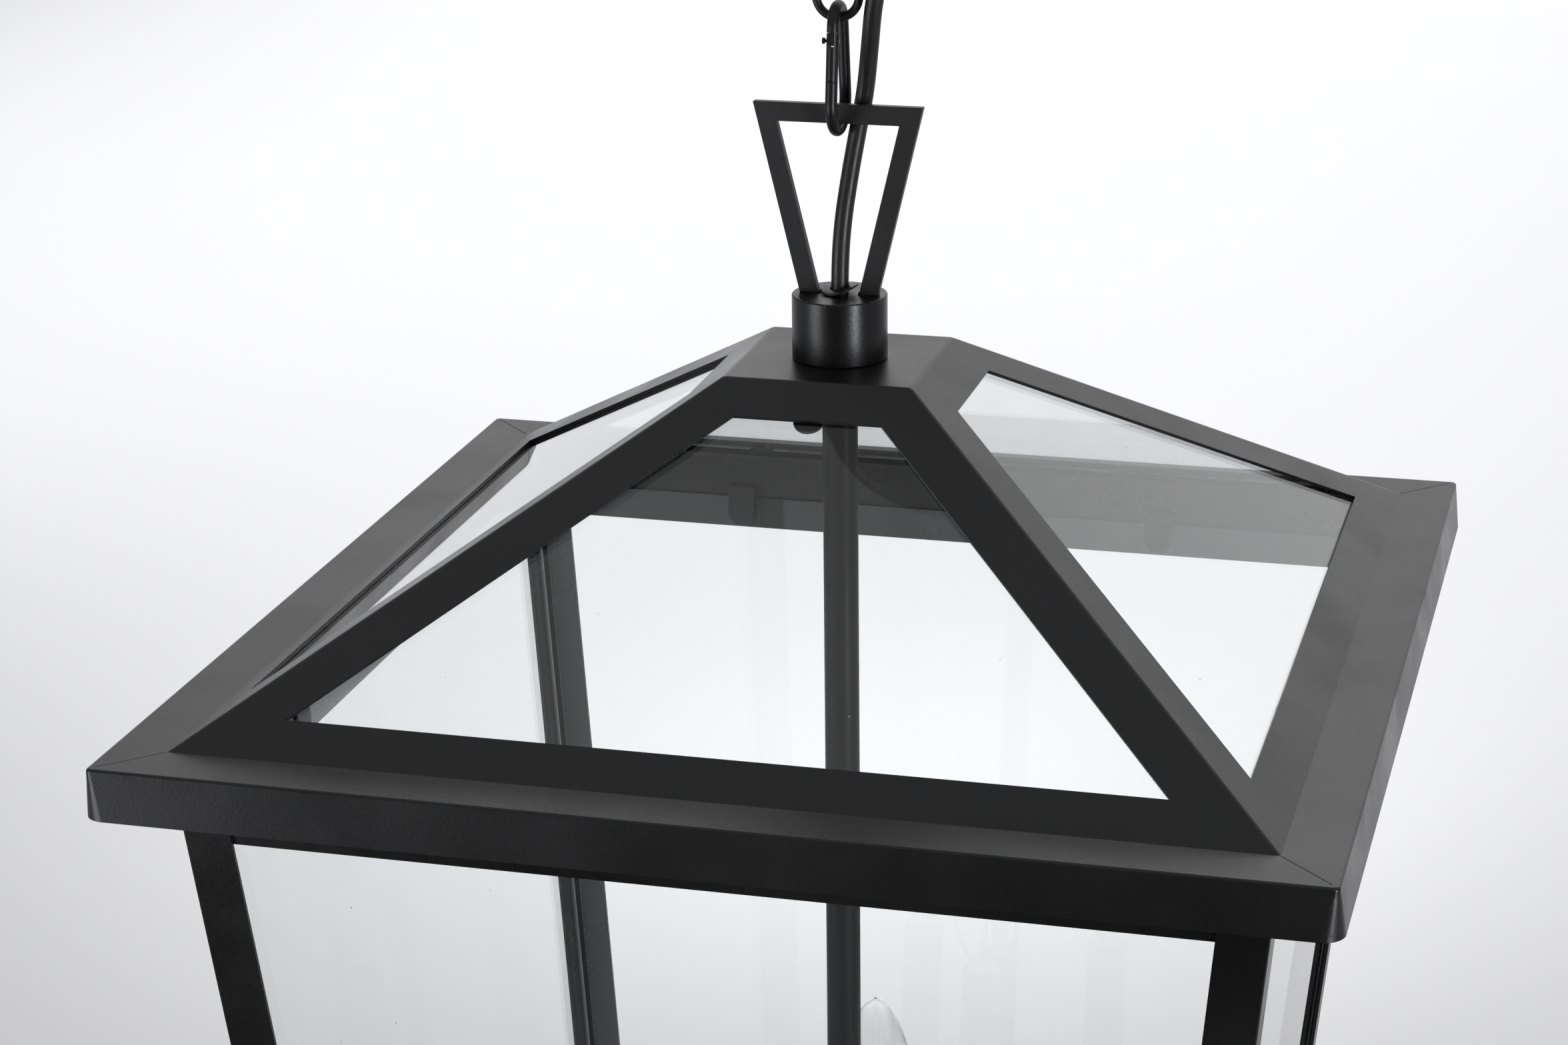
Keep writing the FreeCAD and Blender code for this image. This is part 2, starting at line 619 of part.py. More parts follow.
def loop_hub():
    """Turned hub with a cable bore above and an M10 thread below."""
    hub = cylinder(HUB_RADIUS, PLATE_Z, HUB_TOP_Z)
    rims = [edge for edge in hub.Edges if isinstance(edge.Curve, Part.Circle)]
    hub = hub.makeFillet(0.7, rims)
    hub = hub.cut(cylinder(THREAD_RADIUS + THREAD_PLAY, PLATE_Z, NIPPLE_TOP_Z))
    return hub.cut(cylinder(CABLE_RADIUS + 0.3, NIPPLE_TOP_Z, HUB_TOP_Z))


def hub_grommet():
    """Rubber washer round the cable, sitting a little askew on the hub."""
    thick, rim, lean = 1.9, 7.6, 5.0
    washer = cylinder(rim, -thick / 2, thick / 2)
    washer = washer.makeFillet(0.8, [e for e in washer.Edges if isinstance(e.Curve, Part.Circle)])
    washer = washer.cut(cylinder(CABLE_RADIUS + 0.25, -thick, thick))
    washer.rotate(V(0, 0, 0), V(0, 1, 0), -lean)
    lift = rim * math.sin(math.radians(lean)) + thick / 2
    washer.translate(V(0.2, 0, HUB_TOP_Z + lift))
    return washer


def hub_nipple():
    """M10 threaded tube that joins hub, roof plate and stem."""
    return tube(THREAD_RADIUS, THREAD_BORE, NIPPLE_LOW_Z, NIPPLE_TOP_Z)


def stem_lock_nut():
    """Hexagon nut that clamps the hub to the roof plate from below."""
    low, high = STEM_TOP_Z, PLATE_Z - SHEET
    return hex_prism(17.0, low, high).cut(cylinder(THREAD_RADIUS + THREAD_PLAY, low, high))


# ---------------------------------------------------------------- roof
ROOF_RUN = ROOF_BASE - ROOF_TOP
SLOPE_LENGTH = math.hypot(ROOF_RUN, ROOF_RISE)
SLOPE_ANGLE = math.atan2(ROOF_RISE, ROOF_RUN)
HIP_SPREAD = math.hypot(SLOPE_LENGTH, ROOF_RUN) / SLOPE_LENGTH
CLIP_SINK = SHEET + GLASS_GAP + GLASS + GLASS_GAP
PANE_FOOT = BORDER - PANE_LAP
PANE_HEAD = SLOPE_LENGTH - BORDER_TOP + PANE_LAP


def on_slope(u, v, w):
    """Point on the front roof slope: u along the eave, v up the slope, w outwards."""
    y = -ROOF_BASE + v * math.cos(SLOPE_ANGLE) - w * math.sin(SLOPE_ANGLE)
    z = EAVE_Z + v * math.sin(SLOPE_ANGLE) + w * math.cos(SLOPE_ANGLE)
    return V(u, y, z)


def slope_half(v, inset):
    """Half width of the slope at v, inset square to the hips."""
    return ROOF_BASE - ROOF_RUN * v / SLOPE_LENGTH - inset * HIP_SPREAD


def slope_prism(v_low, v_high, inset, w_low, w_high):
    """Trapezoid block on the front slope between two depths."""
    low_half, high_half = slope_half(v_low, inset), slope_half(v_high, inset)
    points = [on_slope(-low_half, v_low, w_low), on_slope(low_half, v_low, w_low)]
    points += [on_slope(high_half, v_high, w_low), on_slope(-high_half, v_high, w_low)]
    return face_of(points).extrude(on_slope(0, 0, w_high) - on_slope(0, 0, w_low))


def slope_block(u_low, u_high, v_low, v_high, w_low, w_high):
    """Rectangular block on the front slope."""
    points = [on_slope(u_low, v_low, w_low), on_slope(u_high, v_low, w_low)]
    points += [on_slope(u_high, v_high, w_low), on_slope(u_low, v_high, w_low)]
    return face_of(points).extrude(on_slope(0, 0, w_high) - on_slope(0, 0, w_low))


def roof_shell():
    """Hipped roof folded and welded from sheet, with four windows and a flat top plate."""
    shift = SHEET / math.sin(SLOPE_ANGLE)
    drop = SHEET / math.tan(SLOPE_ANGLE)
    outer = frustum(ROOF_BASE, EAVE_Z, ROOF_TOP, PLATE_Z)
    side_edges = [e for e in outer.Edges if e.CenterOfMass.z > PLATE_Z - 1 and abs(e.CenterOfMass.x) > 1]
    outer = outer.makeFillet(PLATE_SIDE_ROUND, side_edges)
    hips = [e for e in outer.Edges if EAVE_Z + 1 < e.CenterOfMass.z < EAVE_Z + 0.8 * ROOF_RISE]
    outer = outer.makeFillet(ROOF_HIP_ROUND, hips)
    inner = frustum(ROOF_BASE - shift, EAVE_Z, ROOF_TOP - shift + drop, PLATE_Z - SHEET)
    shell = outer.cut(inner)
    for angle in SIDES.values():
        window = slope_prism(BORDER, SLOPE_LENGTH - BORDER_TOP, BORDER, -3 * SHEET, 3 * SHEET)
        shell = shell.cut(turned(window, angle))
    return shell.cut(cylinder(THREAD_RADIUS + THREAD_PLAY, PLATE_Z - 2 * SHEET, PLATE_Z + SHEET))


def roof_pane():
    """Front roof pane, lying under the border of its window."""
    top = -SHEET - GLASS_GAP
    return slope_prism(PANE_FOOT, PANE_HEAD, PANE_FOOT, top - GLASS, top)


def roof_clip(u, v_foot, v_tip):
    """Bent clip: a foot on the sheet beside the pane and a round-ended tongue under it."""
    away = 1.0 if v_tip > v_foot else -1.0
    half = CLIP_WIDTH / 2
    left, right = u - half, u + half
    face, back = -CLIP_SINK, -CLIP_SINK - CLIP_THICK
    straight_end = v_tip - away * half
    foot = slope_block(left, right, *sorted((v_foot, v_foot + away * CLIP_FOOT)), back, -SHEET)
    tongue = slope_block(left, right, *sorted((v_foot, straight_end)), back, face)
    normal = on_slope(0, 0, -1) - on_slope(0, 0, 0)
    tip = Part.makeCylinder(half, CLIP_THICK, on_slope(u, straight_end, face), normal)
    beyond = sorted((straight_end, straight_end + away * CLIP_WIDTH))
    tip = tip.common(slope_block(left, right, *beyond, back, face))
    return foot.fuse([tongue, tip]).removeSplitter()


def roof_pane_clips():
    """Two clips at each roof pane's foot, and one at the head of the front and back panes."""
    clips = []
    for side, angle in SIDES.items():
        if side in ("front", "back"):
            head = roof_clip(0.0, PANE_HEAD + ROOF_CLIP_STAND, SLOPE_LENGTH - BORDER_TOP - ROOF_CLIP_SHOWS)
            clips.append(turned(head, angle))
        for sign in (-1, 1):
            foot = roof_clip(sign * ROOF_CLIP_SPREAD, PANE_FOOT - ROOF_CLIP_STAND, BORDER - 0.5)
            clips.append(turned(foot, angle))
    return Part.makeCompound(clips)


# ---------------------------------------------------------------- eave
def mitre_wedge():
    """Front quarter of the plan, cut off along both diagonals."""
    reach = EAVE_HALF + 20
    points = [V(0, 0, EAVE_Z - 50), V(-reach, -reach, EAVE_Z - 50), V(reach, -reach, EAVE_Z - 50)]
    return face_of(points).extrude(V(0, 0, 60))


def eave_ring():
    """Folded eave: a flat top and a fascia whose lower corners are drawn in."""
    low = EAVE_Z - EAVE_DROP
    outer = loft(
        rounded_square_wire(EAVE_HALF + EAVE_FLARE, EAVE_CORNER_LOW, low),
        rounded_square_wire(EAVE_HALF, EAVE_CORNER_TOP, EAVE_Z),
    )
    top_edges = [e for e in outer.Edges if abs(e.BoundBox.ZMin - EAVE_Z) < 1e-4]
    outer = outer.makeFillet(EAVE_BEND, top_edges)
    inner = loft(
        rounded_square_wire(EAVE_HALF + EAVE_FLARE - SHEET, EAVE_CORNER_LOW - SHEET, low - 0.01),
        rounded_square_wire(EAVE_HALF - SHEET, 0.6, EAVE_Z - SHEET),
    )
    hole = frustum(EAVE_INNER, EAVE_Z - 2 * SHEET, EAVE_INNER, EAVE_Z + SHEET)
    return outer.cut(inner).cut(hole)


def mitre_groove(angle):
    """Fine groove left along a mitre weld in the eave's flat top."""
    deep, wide = 0.35, 0.4
    length = (EAVE_HALF - ROOF_BASE - 3.0) * math.sqrt(2)
    groove = Part.makeBox(length, wide, 2 * deep, V(ROOF_BASE * math.sqrt(2), -wide / 2, EAVE_Z - deep))
    return turned(groove, 45.0 + angle)


def eave_tray():
    """The four mitred lengths of the eave."""
    ring = eave_ring()
    for angle in SIDES.values():
        ring = ring.cut(mitre_groove(angle))
    front = mitre_wedge()
    return Part.makeCompound([ring.common(turned(front, angle)) for angle in SIDES.values()])


# ---------------------------------------------------------------- body frame and glazing
POST_BACK = SHEET
RAIL_BACK = 2 * SHEET
PANE_FRONT = RAIL_BACK + GLASS_GAP
PANE_BACK = PANE_FRONT + GLASS
CLIP_FRONT = PANE_BACK + GLASS_GAP
CLIP_BACK = CLIP_FRONT + CLIP_THICK


def corner_post():
    """Front left corner post: an L section leaning in along the body's corner."""
    top = EAVE_Z - SHEET
    half = body_half(SHEET)
    outer, inner, tip = -half, -half + SHEET, -half + POST_LEG
    outline = [(outer, outer), (tip, outer), (tip, inner), (inner, inner), (inner, tip), (outer, tip)]
    depth = BODY_DEPTH - SHEET
    lean = V(BODY_TAPER * depth, BODY_TAPER * depth, -depth)
    post = face_of([V(x, y, top) for x, y in outline]).extrude(lean)
    corner = [e for e in post.Edges if e.Length > depth and near_line(e, outer)]
    return post.makeFillet(0.9, corner)


def near_line(edge, outer):
    """True for the edge that starts at the outer corner of a post."""
    start = max((vertex.Point for vertex in edge.Vertexes), key=lambda point: point.z)
    return abs(start.x - outer) < 0.01 and abs(start.y - outer) < 0.01


def rail_strip(top, low):
    """Flat strip between two depths, set back behind the posts and butting on the next side's."""
    return side_strip(
        top, low, POST_BACK, RAIL_BACK, lambda half: RAIL_BACK - half, lambda half: half - POST_BACK
    )


def top_rail():
    """Front top rail, set back behind the posts; each rail butts on the next."""
    return rail_strip(SHEET, TOP_RAIL_LOW)


def bottom_rail():
    """Front bottom rail with the inward lip that carries the side pane."""
    strip = rail_strip(BODY_DEPTH - BOTTOM_RAIL_TALL, BODY_DEPTH)
    lip_end = RAIL_BACK + BOTTOM_LIP
    lip = side_strip(
        BODY_DEPTH - SHEET,
        BODY_DEPTH,
        RAIL_BACK,
        lip_end,
        lambda half: lip_end - half,
        lambda half: half - RAIL_BACK,
    )
    return strip.fuse(lip).removeSplitter()


def side_pane():
    """Front side pane, standing on the bottom rail's lip."""
    low = BODY_DEPTH - SHEET
    return side_strip(
        PANE_TOP, low, PANE_FRONT, PANE_BACK, lambda half: PANE_SIDE - half, lambda half: half - PANE_SIDE
    )


def clip_outline(x, top, low, round_top):
    """Upright strip with one round end, used to cut a clip's tongue to shape."""
    half = CLIP_WIDTH / 2
    deep = BODY_TOP + 10
    z_low, z_high = EAVE_Z - low, EAVE_Z - top
    if round_top:
        block = Part.makeBox(CLIP_WIDTH, deep, z_high - half - z_low, V(x - half, -deep, z_low))
        end = V(x, -deep, z_high - half)
    else:
        block = Part.makeBox(CLIP_WIDTH, deep, z_high - z_low - half, V(x - half, -deep, z_low + half))
        end = V(x, -deep, z_low + half)
    return block.fuse(Part.makeCylinder(half, deep, end, V(0, 1, 0)))


def upper_pane_clip(x):
    """Clip on the top rail: a foot above the pane and a tongue down behind it."""
    top, low = UPPER_CLIP_TOP, UPPER_CLIP_LOW
    left, right = x - CLIP_WIDTH / 2, x + CLIP_WIDTH / 2
    foot = side_strip(top, PANE_TOP - GLASS_GAP, RAIL_BACK, CLIP_BACK, lambda half: left, lambda half: right)
    tongue = side_strip(top, low, CLIP_FRONT, CLIP_BACK, lambda half: left, lambda half: right)
    tongue = tongue.common(clip_outline(x, top, low, False))
    return foot.fuse(tongue).removeSplitter()


def lower_pane_clip(x):
    """Clip on the bottom rail's lip: a tongue up behind the pane."""
    low = BODY_DEPTH - SHEET
    top = low - LOWER_CLIP_TALL
    left, right = x - CLIP_WIDTH / 2, x + CLIP_WIDTH / 2
    tongue = side_strip(top, low, CLIP_FRONT, CLIP_BACK, lambda half: left, lambda half: right)
    return tongue.common(clip_outline(x, top, low, True))


def clip_row(make_clip, spread):
    """Two clips on each of the four sides."""
    clips = []
    for angle in SIDES.values():
        for sign in (-1, 1):
            clips.append(turned(make_clip(sign * spread), angle))
    return Part.makeCompound(clips)


# ---------------------------------------------------------------- stem and lamp cluster
def lamp_positions():
    """The lamps' centres in plan."""
    places = []
    for number in range(LAMPS):
        angle = math.radians(FIRST_LAMP_ANGLE + number * TAU_DEG / LAMPS)
        places.append(V(LAMP_CIRCLE * math.cos(angle), LAMP_CIRCLE * math.sin(angle), 0))
    return places


def at_lamp(shape, number):
    """A copy of a shape made on the axis, moved to a lamp."""
    copy = shape.copy()
    copy.translate(lamp_positions()[number])
    return copy


def at_every_lamp(shape):
    """The same shape at each lamp, as a group of separate solids."""
    return Part.makeCompound([at_lamp(shape, number) for number in range(LAMPS)])


def lamp_stem():
    """Tube that carries the cluster, screwed on the hub's nipple."""
    low = CLUSTER_LOW_Z + CLUSTER_TALL
    stem = tube(STEM_RADIUS, STEM_RADIUS - STEM_WALL, low, STEM_TOP_Z)
    plug = tube(STEM_RADIUS - STEM_WALL, THREAD_RADIUS + THREAD_PLAY, NIPPLE_LOW_Z, STEM_TOP_Z)
    return stem.fuse(plug).removeSplitter()


def cluster_hub():
    """Turned body that the arms are screwed into."""
    low, high = CLUSTER_LOW_Z, CLUSTER_LOW_Z + CLUSTER_TALL
    profile = [(0, low), (12.0, low), (CLUSTER_RADIUS, low + 5.0), (CLUSTER_RADIUS, high - 5.0)]
    hub = revolved(profile + [(10.0, high), (0, high)])
    for place in lamp_positions():
        start = V(place).normalize() * (CLUSTER_RADIUS - 5.0) + V(0, 0, ARM_LEVEL_Z)
        hub = hub.cut(Part.makeCylinder(ARM_RADIUS, 20.0, start, V(place).normalize()))
    return hub


def cluster_arm():
    """Arm along +X: out from the cluster and up under the lamp."""
    start = V(CLUSTER_RADIUS - 5.0, 0, ARM_LEVEL_Z)
    bend_start = V(LAMP_CIRCLE - ARM_BEND, 0, ARM_LEVEL_Z)
    centre = bend_start + V(0, 0, ARM_BEND)
    middle = centre + V(ARM_BEND * math.sqrt(0.5), 0, -ARM_BEND * math.sqrt(0.5))
    bend_end = V(LAMP_CIRCLE, 0, ARM_LEVEL_Z + ARM_BEND)
    edges = [
        Part.LineSegment(start, bend_start).toShape(),
        Part.Arc(bend_start, middle, bend_end).toShape(),
        Part.LineSegment(bend_end, V(LAMP_CIRCLE, 0, CUP_LOW_Z)).toShape(),
    ]
    ring = Part.Wire(Part.makeCircle(ARM_RADIUS, start, V(1, 0, 0)))
    return Part.Wire(edges).makePipeShell([ring], True, False)


def cluster_arms():
    """All the arms."""
    step = TAU_DEG / LAMPS
    return Part.makeCompound([turned(cluster_arm(), FIRST_LAMP_ANGLE + step * n) for n in range(LAMPS)])


def drip_cup():
    """Shallow spun cup under each candle sleeve."""
    base, wall = 9.0, 1.0
    low, seat = CUP_LOW_Z, SLEEVE_LOW_Z
    rim = low + CUP_TALL
    profile = [(0, low), (base, low), (CUP_RADIUS, rim - 1.5), (CUP_RADIUS, rim), (CUP_RADIUS - wall, rim)]
    profile += [(CUP_RADIUS - wall, rim - 1.2), (SLEEVE_RADIUS + 0.8, seat), (0, seat)]
    return revolved(profile)


def candle_sleeve():
    """Tube that covers the lampholder like a candle."""
    return tube(SLEEVE_RADIUS, SLEEVE_RADIUS - SLEEVE_WALL, SLEEVE_LOW_Z, SLEEVE_TOP_Z)


def lampholder():
    """E14 lampholder on its hollow stalk inside the sleeve."""
    low = SLEEVE_TOP_Z - HOLDER_LONG
    shell = cylinder(HOLDER_RADIUS, low, SLEEVE_TOP_Z - 0.5)
    shell = shell.cut(cylinder(HOLDER_RADIUS - HOLDER_WALL, BULB_SEAT_Z - LAMP_BASE_LONG - 1.0, SLEEVE_TOP_Z))
    return shell.fuse(cylinder(THREAD_RADIUS, SLEEVE_LOW_Z, low)).removeSplitter()


def bulb_profile(inset):
    """Filled half outline of a candle bulb: neck, full belly, then a drawn-out tip."""
    neck = BULB_NECK_RADIUS - inset
    belly = BULB_RADIUS - inset
    tip = BULB_TIP_Z - inset
    seat = BULB_SEAT_Z + inset
    belly_z = BULB_SEAT_Z + 0.38 * BULB_GLASS_LONG
    curve = Part.BSplineCurve()
    curve.interpolate([
        V(neck, 0, seat + 2.0),
        V(neck + 0.6 * (belly - neck), 0, BULB_SEAT_Z + 0.16 * BULB_GLASS_LONG),
        V(belly, 0, belly_z),
        V(0.88 * belly, 0, BULB_SEAT_Z + 0.62 * BULB_GLASS_LONG),
        V(0.55 * belly, 0, BULB_SEAT_Z + 0.85 * BULB_GLASS_LONG),
        V(0.28 * belly, 0, BULB_SEAT_Z + 0.955 * BULB_GLASS_LONG - 0.6 * inset),
        V(0, 0, tip),
    ], Tangents=[V(0, 0, 1), V(-1, 0, 0)])
    edges = [
        Part.LineSegment(V(0, 0, seat), V(neck, 0, seat)).toShape(),
        Part.LineSegment(V(neck, 0, seat), V(neck, 0, seat + 2.0)).toShape(),
        curve.toShape(),
        Part.LineSegment(V(0, 0, tip), V(0, 0, seat)).toShape(),
    ]
    return Part.Face(Part.Wire(edges))


def bulb_envelope():
    """Blown glass of a candle bulb."""
    outer = bulb_profile(0.0).revolve(V(0, 0, 0), UP, TAU_DEG)
    inner = bulb_profile(BULB_WALL).revolve(V(0, 0, 0), UP, TAU_DEG)
    return outer.cut(inner)


def bulb_base():
    """Screw base under the glass."""
    top = BULB_SEAT_Z
    low = top - LAMP_BASE_LONG
    profile = [(0, low), (2.6, low), (2.6, low + 1.6), (LAMP_BASE_RADIUS - 1.2, low + 3.2)]
    profile += [(LAMP_BASE_RADIUS, low + 5.0), (LAMP_BASE_RADIUS, top), (0, top)]
    return revolved(profile)


def bulb_filament():
    """Glass stalk inside the bulb with four upright filament sticks round it."""
    low = BULB_SEAT_Z + BULB_WALL
    stalk = revolved([(0, low), (4.6, low), (2.2, low + 9.0), (1.3, low + 24.0), (0, low + 24.0)])
    sticks = []
    for step in range(4):
        stick = Part.makeCylinder(0.75, 26.0, V(1.8, 0, low + 22.0), V(0.16, 0, 1))
        sticks.append(turned(stick, 90.0 * step))
    return stalk.fuse(sticks).removeSplitter()


def stem_finial():
    """Turned knob that closes the cluster from below."""
    top = CLUSTER_LOW_Z
    profile = [(0, top - 20.0), (3.0, top - 19.4), (4.6, top - 17.0), (4.2, top - 14.6), (2.6, top - 12.6)]
    profile += [(6.0, top - 10.0), (7.2, top - 7.0), (6.0, top - 4.0), (4.0, top - 2.6), (8.0, top - 1.5)]
    profile += [(8.0, top), (0, top)]
    return revolved(profile)


# ---------------------------------------------------------------- the whole lantern
def all_parts():
    """Every sub-part by its node name."""
    parts = {
        "mounting_bar": mounting_bar(),
        "bar_nipple": bar_nipple(),
        "bar_lock_nut": bar_lock_nut(),
        "ceiling_canopy": ceiling_canopy(),
        "terminal_block": terminal_block(),
        "canopy_cable_gland": canopy_cable_gland(),
        "screw_collar": screw_collar(),
        "canopy_loop": canopy_loop(),
        "supply_cable": supply_cable(),
        "snap_hook": snap_hook(),
        "gate_rivet": gate_rivet(),
        "hook_gate": hook_gate(),
        "hanging_loop": hanging_loop(),
        "loop_hub": loop_hub(),
        "hub_grommet": hub_grommet(),
        "hub_nipple": hub_nipple(),
        "stem_lock_nut": stem_lock_nut(),
        "roof_shell": roof_shell(),
        "roof_pane_clips": roof_pane_clips(),
        "eave_tray": eave_tray(),
        "upper_pane_clips": clip_row(upper_pane_clip, CLIP_SPREAD),
        "lower_pane_clips": clip_row(lower_pane_clip, CLIP_SPREAD),
        "lamp_stem": lamp_stem(),
        "cluster_hub": cluster_hub(),
        "cluster_arms": cluster_arms(),
        "drip_cups": at_every_lamp(drip_cup()),
        "candle_sleeves": at_every_lamp(candle_sleeve()),
        "lampholders": at_every_lamp(lampholder()),
        "bulb_bases": at_every_lamp(bulb_base()),
        "bulb_filaments": at_every_lamp(bulb_filament()),
        "stem_finial": stem_finial(),
    }
    for number in range(CHAIN_LINKS):
        parts[f"chain_link_{number + 1}"] = chain_link(number)
    for side, angle in SIDES.items():
        parts[f"roof_pane_{side}"] = turned(roof_pane(), angle)
        parts[f"top_rail_{side}"] = turned(top_rail(), angle)
        parts[f"bottom_rail_{side}"] = turned(bottom_rail(), angle)
        parts[f"side_pane_{side}"] = turned(side_pane(), angle)
    for corner, angle in CORNERS.items():
        parts[f"corner_post_{corner}"] = turned(corner_post(), angle)
    for number in range(LAMPS):
        parts[f"bulb_glass_{number + 1}"] = at_lamp(bulb_envelope(), number)
    return parts


os.makedirs("parts", exist_ok=True)
PARTS = all_parts()
for name, shape in PARTS.items():
    shape.exportStep(f"parts/{name}.step")
print(len(PARTS), "nodes; eave plane at", round(EAVE_Z, 2), "hook low at", round(HOOK_LOW, 2))
print("link lows", [round(low, 2) for low in LINK_LOWS], "eye low", round(EYE_LOW, 2))
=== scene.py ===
import json
import math
import random

import bpy
from mathutils import Matrix, Vector, noise


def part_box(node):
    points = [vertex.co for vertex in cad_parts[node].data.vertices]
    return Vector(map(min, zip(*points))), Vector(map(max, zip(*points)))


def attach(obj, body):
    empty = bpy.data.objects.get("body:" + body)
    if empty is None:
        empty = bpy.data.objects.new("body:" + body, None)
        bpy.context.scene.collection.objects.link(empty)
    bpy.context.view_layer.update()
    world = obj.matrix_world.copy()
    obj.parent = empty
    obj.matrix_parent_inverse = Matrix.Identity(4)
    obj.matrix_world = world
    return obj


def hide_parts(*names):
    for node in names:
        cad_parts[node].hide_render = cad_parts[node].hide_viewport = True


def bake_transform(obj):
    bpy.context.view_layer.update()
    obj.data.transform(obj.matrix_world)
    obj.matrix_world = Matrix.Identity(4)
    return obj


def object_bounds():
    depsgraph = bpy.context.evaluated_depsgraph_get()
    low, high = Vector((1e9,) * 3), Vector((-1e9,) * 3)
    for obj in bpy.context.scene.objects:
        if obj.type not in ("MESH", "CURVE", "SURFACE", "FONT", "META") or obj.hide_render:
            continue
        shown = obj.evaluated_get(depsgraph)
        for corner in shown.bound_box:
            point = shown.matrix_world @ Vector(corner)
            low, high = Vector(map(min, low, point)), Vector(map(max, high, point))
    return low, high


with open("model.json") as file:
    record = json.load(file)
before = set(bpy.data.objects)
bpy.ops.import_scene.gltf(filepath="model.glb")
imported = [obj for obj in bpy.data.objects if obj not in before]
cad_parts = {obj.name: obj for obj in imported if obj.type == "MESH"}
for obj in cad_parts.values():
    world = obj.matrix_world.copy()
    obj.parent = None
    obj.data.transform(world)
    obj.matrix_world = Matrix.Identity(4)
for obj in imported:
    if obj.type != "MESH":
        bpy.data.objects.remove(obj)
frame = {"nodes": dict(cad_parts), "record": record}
cad_low, cad_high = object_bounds()
NODES = frame["nodes"]
RECORD = frame["record"]
UP = Vector((0, 0, 1))

# ---------------------------------------------------------------- places, from the frame
EAVE_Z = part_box("eave_tray")[1].z
HUB_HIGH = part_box("loop_hub")[1]
HUB_TOP = HUB_HIGH.z
HUB_RADIUS = HUB_HIGH.x
GLAND_LOW, GLAND_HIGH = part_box("canopy_cable_gland")
GLAND_X = (GLAND_LOW.x + GLAND_HIGH.x) / 2
BULB_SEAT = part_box("bulb_glass_1")[0].z

# ---------------------------------------------------------------- camera
# The photograph's viewpoint: above the eave, a little to the right, looking down 18 degrees.
LENS_MM = 82.316
SENSOR_MM = 36.0
EYE_FROM_EAVE = Vector((0.35354, -1.40274, 0.52191))
VIEW_RIGHT = Vector((0.96636687, 0.25690406, -0.01163484))
VIEW_DOWN = Vector((0.07053068, -0.30827171, -0.94868012))


def add_camera():
    """The scene's camera."""
    data = bpy.data.cameras.new("camera")
    data.lens = LENS_MM
    data.sensor_width = SENSOR_MM
    data.clip_start = 0.05
    data.clip_end = 200.0
    camera = bpy.data.objects.new("camera", data)
    bpy.context.scene.collection.objects.link(camera)
    forward = VIEW_RIGHT.cross(VIEW_DOWN)
    axes = Matrix((VIEW_RIGHT, -VIEW_DOWN, -forward)).transposed().to_4x4()
    camera.matrix_world = Matrix.Translation(EYE_FROM_EAVE + UP * EAVE_Z) @ axes
    bpy.context.scene.camera = camera


add_camera()


# ---------------------------------------------------------------- mesh helpers
def mesh_object(name, points, faces, smooth=True):
    """Object from points and faces."""
    mesh = bpy.data.meshes.new(name)
    mesh.from_pydata([tuple(p) for p in points], [], faces)
    mesh.update()
    mesh.polygons.foreach_set("use_smooth", [smooth] * len(mesh.polygons))
    piece = bpy.data.objects.new(name, mesh)
    bpy.context.scene.collection.objects.link(piece)
    return piece


def rings_along(path, radius_at, sides):
    """Rings of points round a path, carried along it without twisting."""
    rings = []
    tangent = (path[1] - path[0]).normalized()
    side = tangent.orthogonal().normalized()
    for index, here in enumerate(path):
        ahead = path[min(index + 1, len(path) - 1)]
        behind = path[max(index - 1, 0)]
        new_tangent = (ahead - behind).normalized()
        side.rotate(tangent.rotation_difference(new_tangent))
        tangent = new_tangent
        across = tangent.cross(side)
        ring = []
        for step in range(sides):
            angle = math.tau * step / sides
            out = side * math.cos(angle) + across * math.sin(angle)
            ring.append(here + out * radius_at(index, angle))
        rings.append(ring)
    return rings


def skin(rings, closed_ends=True):
    """Points and faces of a tube through rings."""
    sides = len(rings[0])
    points = [point for ring in rings for point in ring]
    faces = []
    for row in range(len(rings) - 1):
        for step in range(sides):
            after = (step + 1) % sides
            low, high = row * sides, (row + 1) * sides
            faces.append((low + step, low + after, high + after, high + step))
    if closed_ends:
        for ring, turn in ((rings[0], -1), (rings[-1], 1)):
            start = len(points)
            points += ring
            faces.append(tuple(range(start, start + sides))[::turn])
    return points, faces


def lathe(profile, sides, centre):
    """Points and faces of a closed turned shape from (radius, height) points."""
    rings = []
    for radius, height in profile:
        ring = []
        for step in range(sides):
            angle = math.tau * step / sides
            ring.append(centre + Vector((radius * math.cos(angle), radius * math.sin(angle), height)))
        rings.append(ring)
    return skin(rings)


def joined(name, parts):
    """One smooth object from several (points, faces) shells."""
    points, faces = [], []
    for shell_points, shell_faces in parts:
        start = len(points)
        points += shell_points
        faces += [tuple(start + index for index in face) for face in shell_faces]
    return mesh_object(name, points, faces)


# ---------------------------------------------------------------- supply cable
# The route of the CAD tube, from the hub's bore up to the gland in the canopy.
CABLE_DIAMETER = 0.0074
CABLE_SIDES = 32
ROUTE_STEPS = 24            # points read from the spline for each point of the route
CABLE_ROUTE = [
    (0.0, 0.0, HUB_TOP - 0.0136),
    (0.0, 0.0, HUB_TOP + 0.0070),
    (0.0010, 0.0013, HUB_TOP + 0.0285),
    (0.0034, 0.0047, HUB_TOP + 0.0485),
    (0.0065, 0.0076, HUB_TOP + 0.0685),
    (0.0098, 0.0071, HUB_TOP + 0.0840),
    (0.0128, 0.0022, HUB_TOP + 0.1030),
    (0.0162, -0.0042, HUB_TOP + 0.1245),
    (0.0220, -0.0044, HUB_TOP + 0.1480),
    (GLAND_X, 0.0, HUB_TOP + 0.1710),
    (GLAND_X, 0.0, GLAND_LOW.z),
]
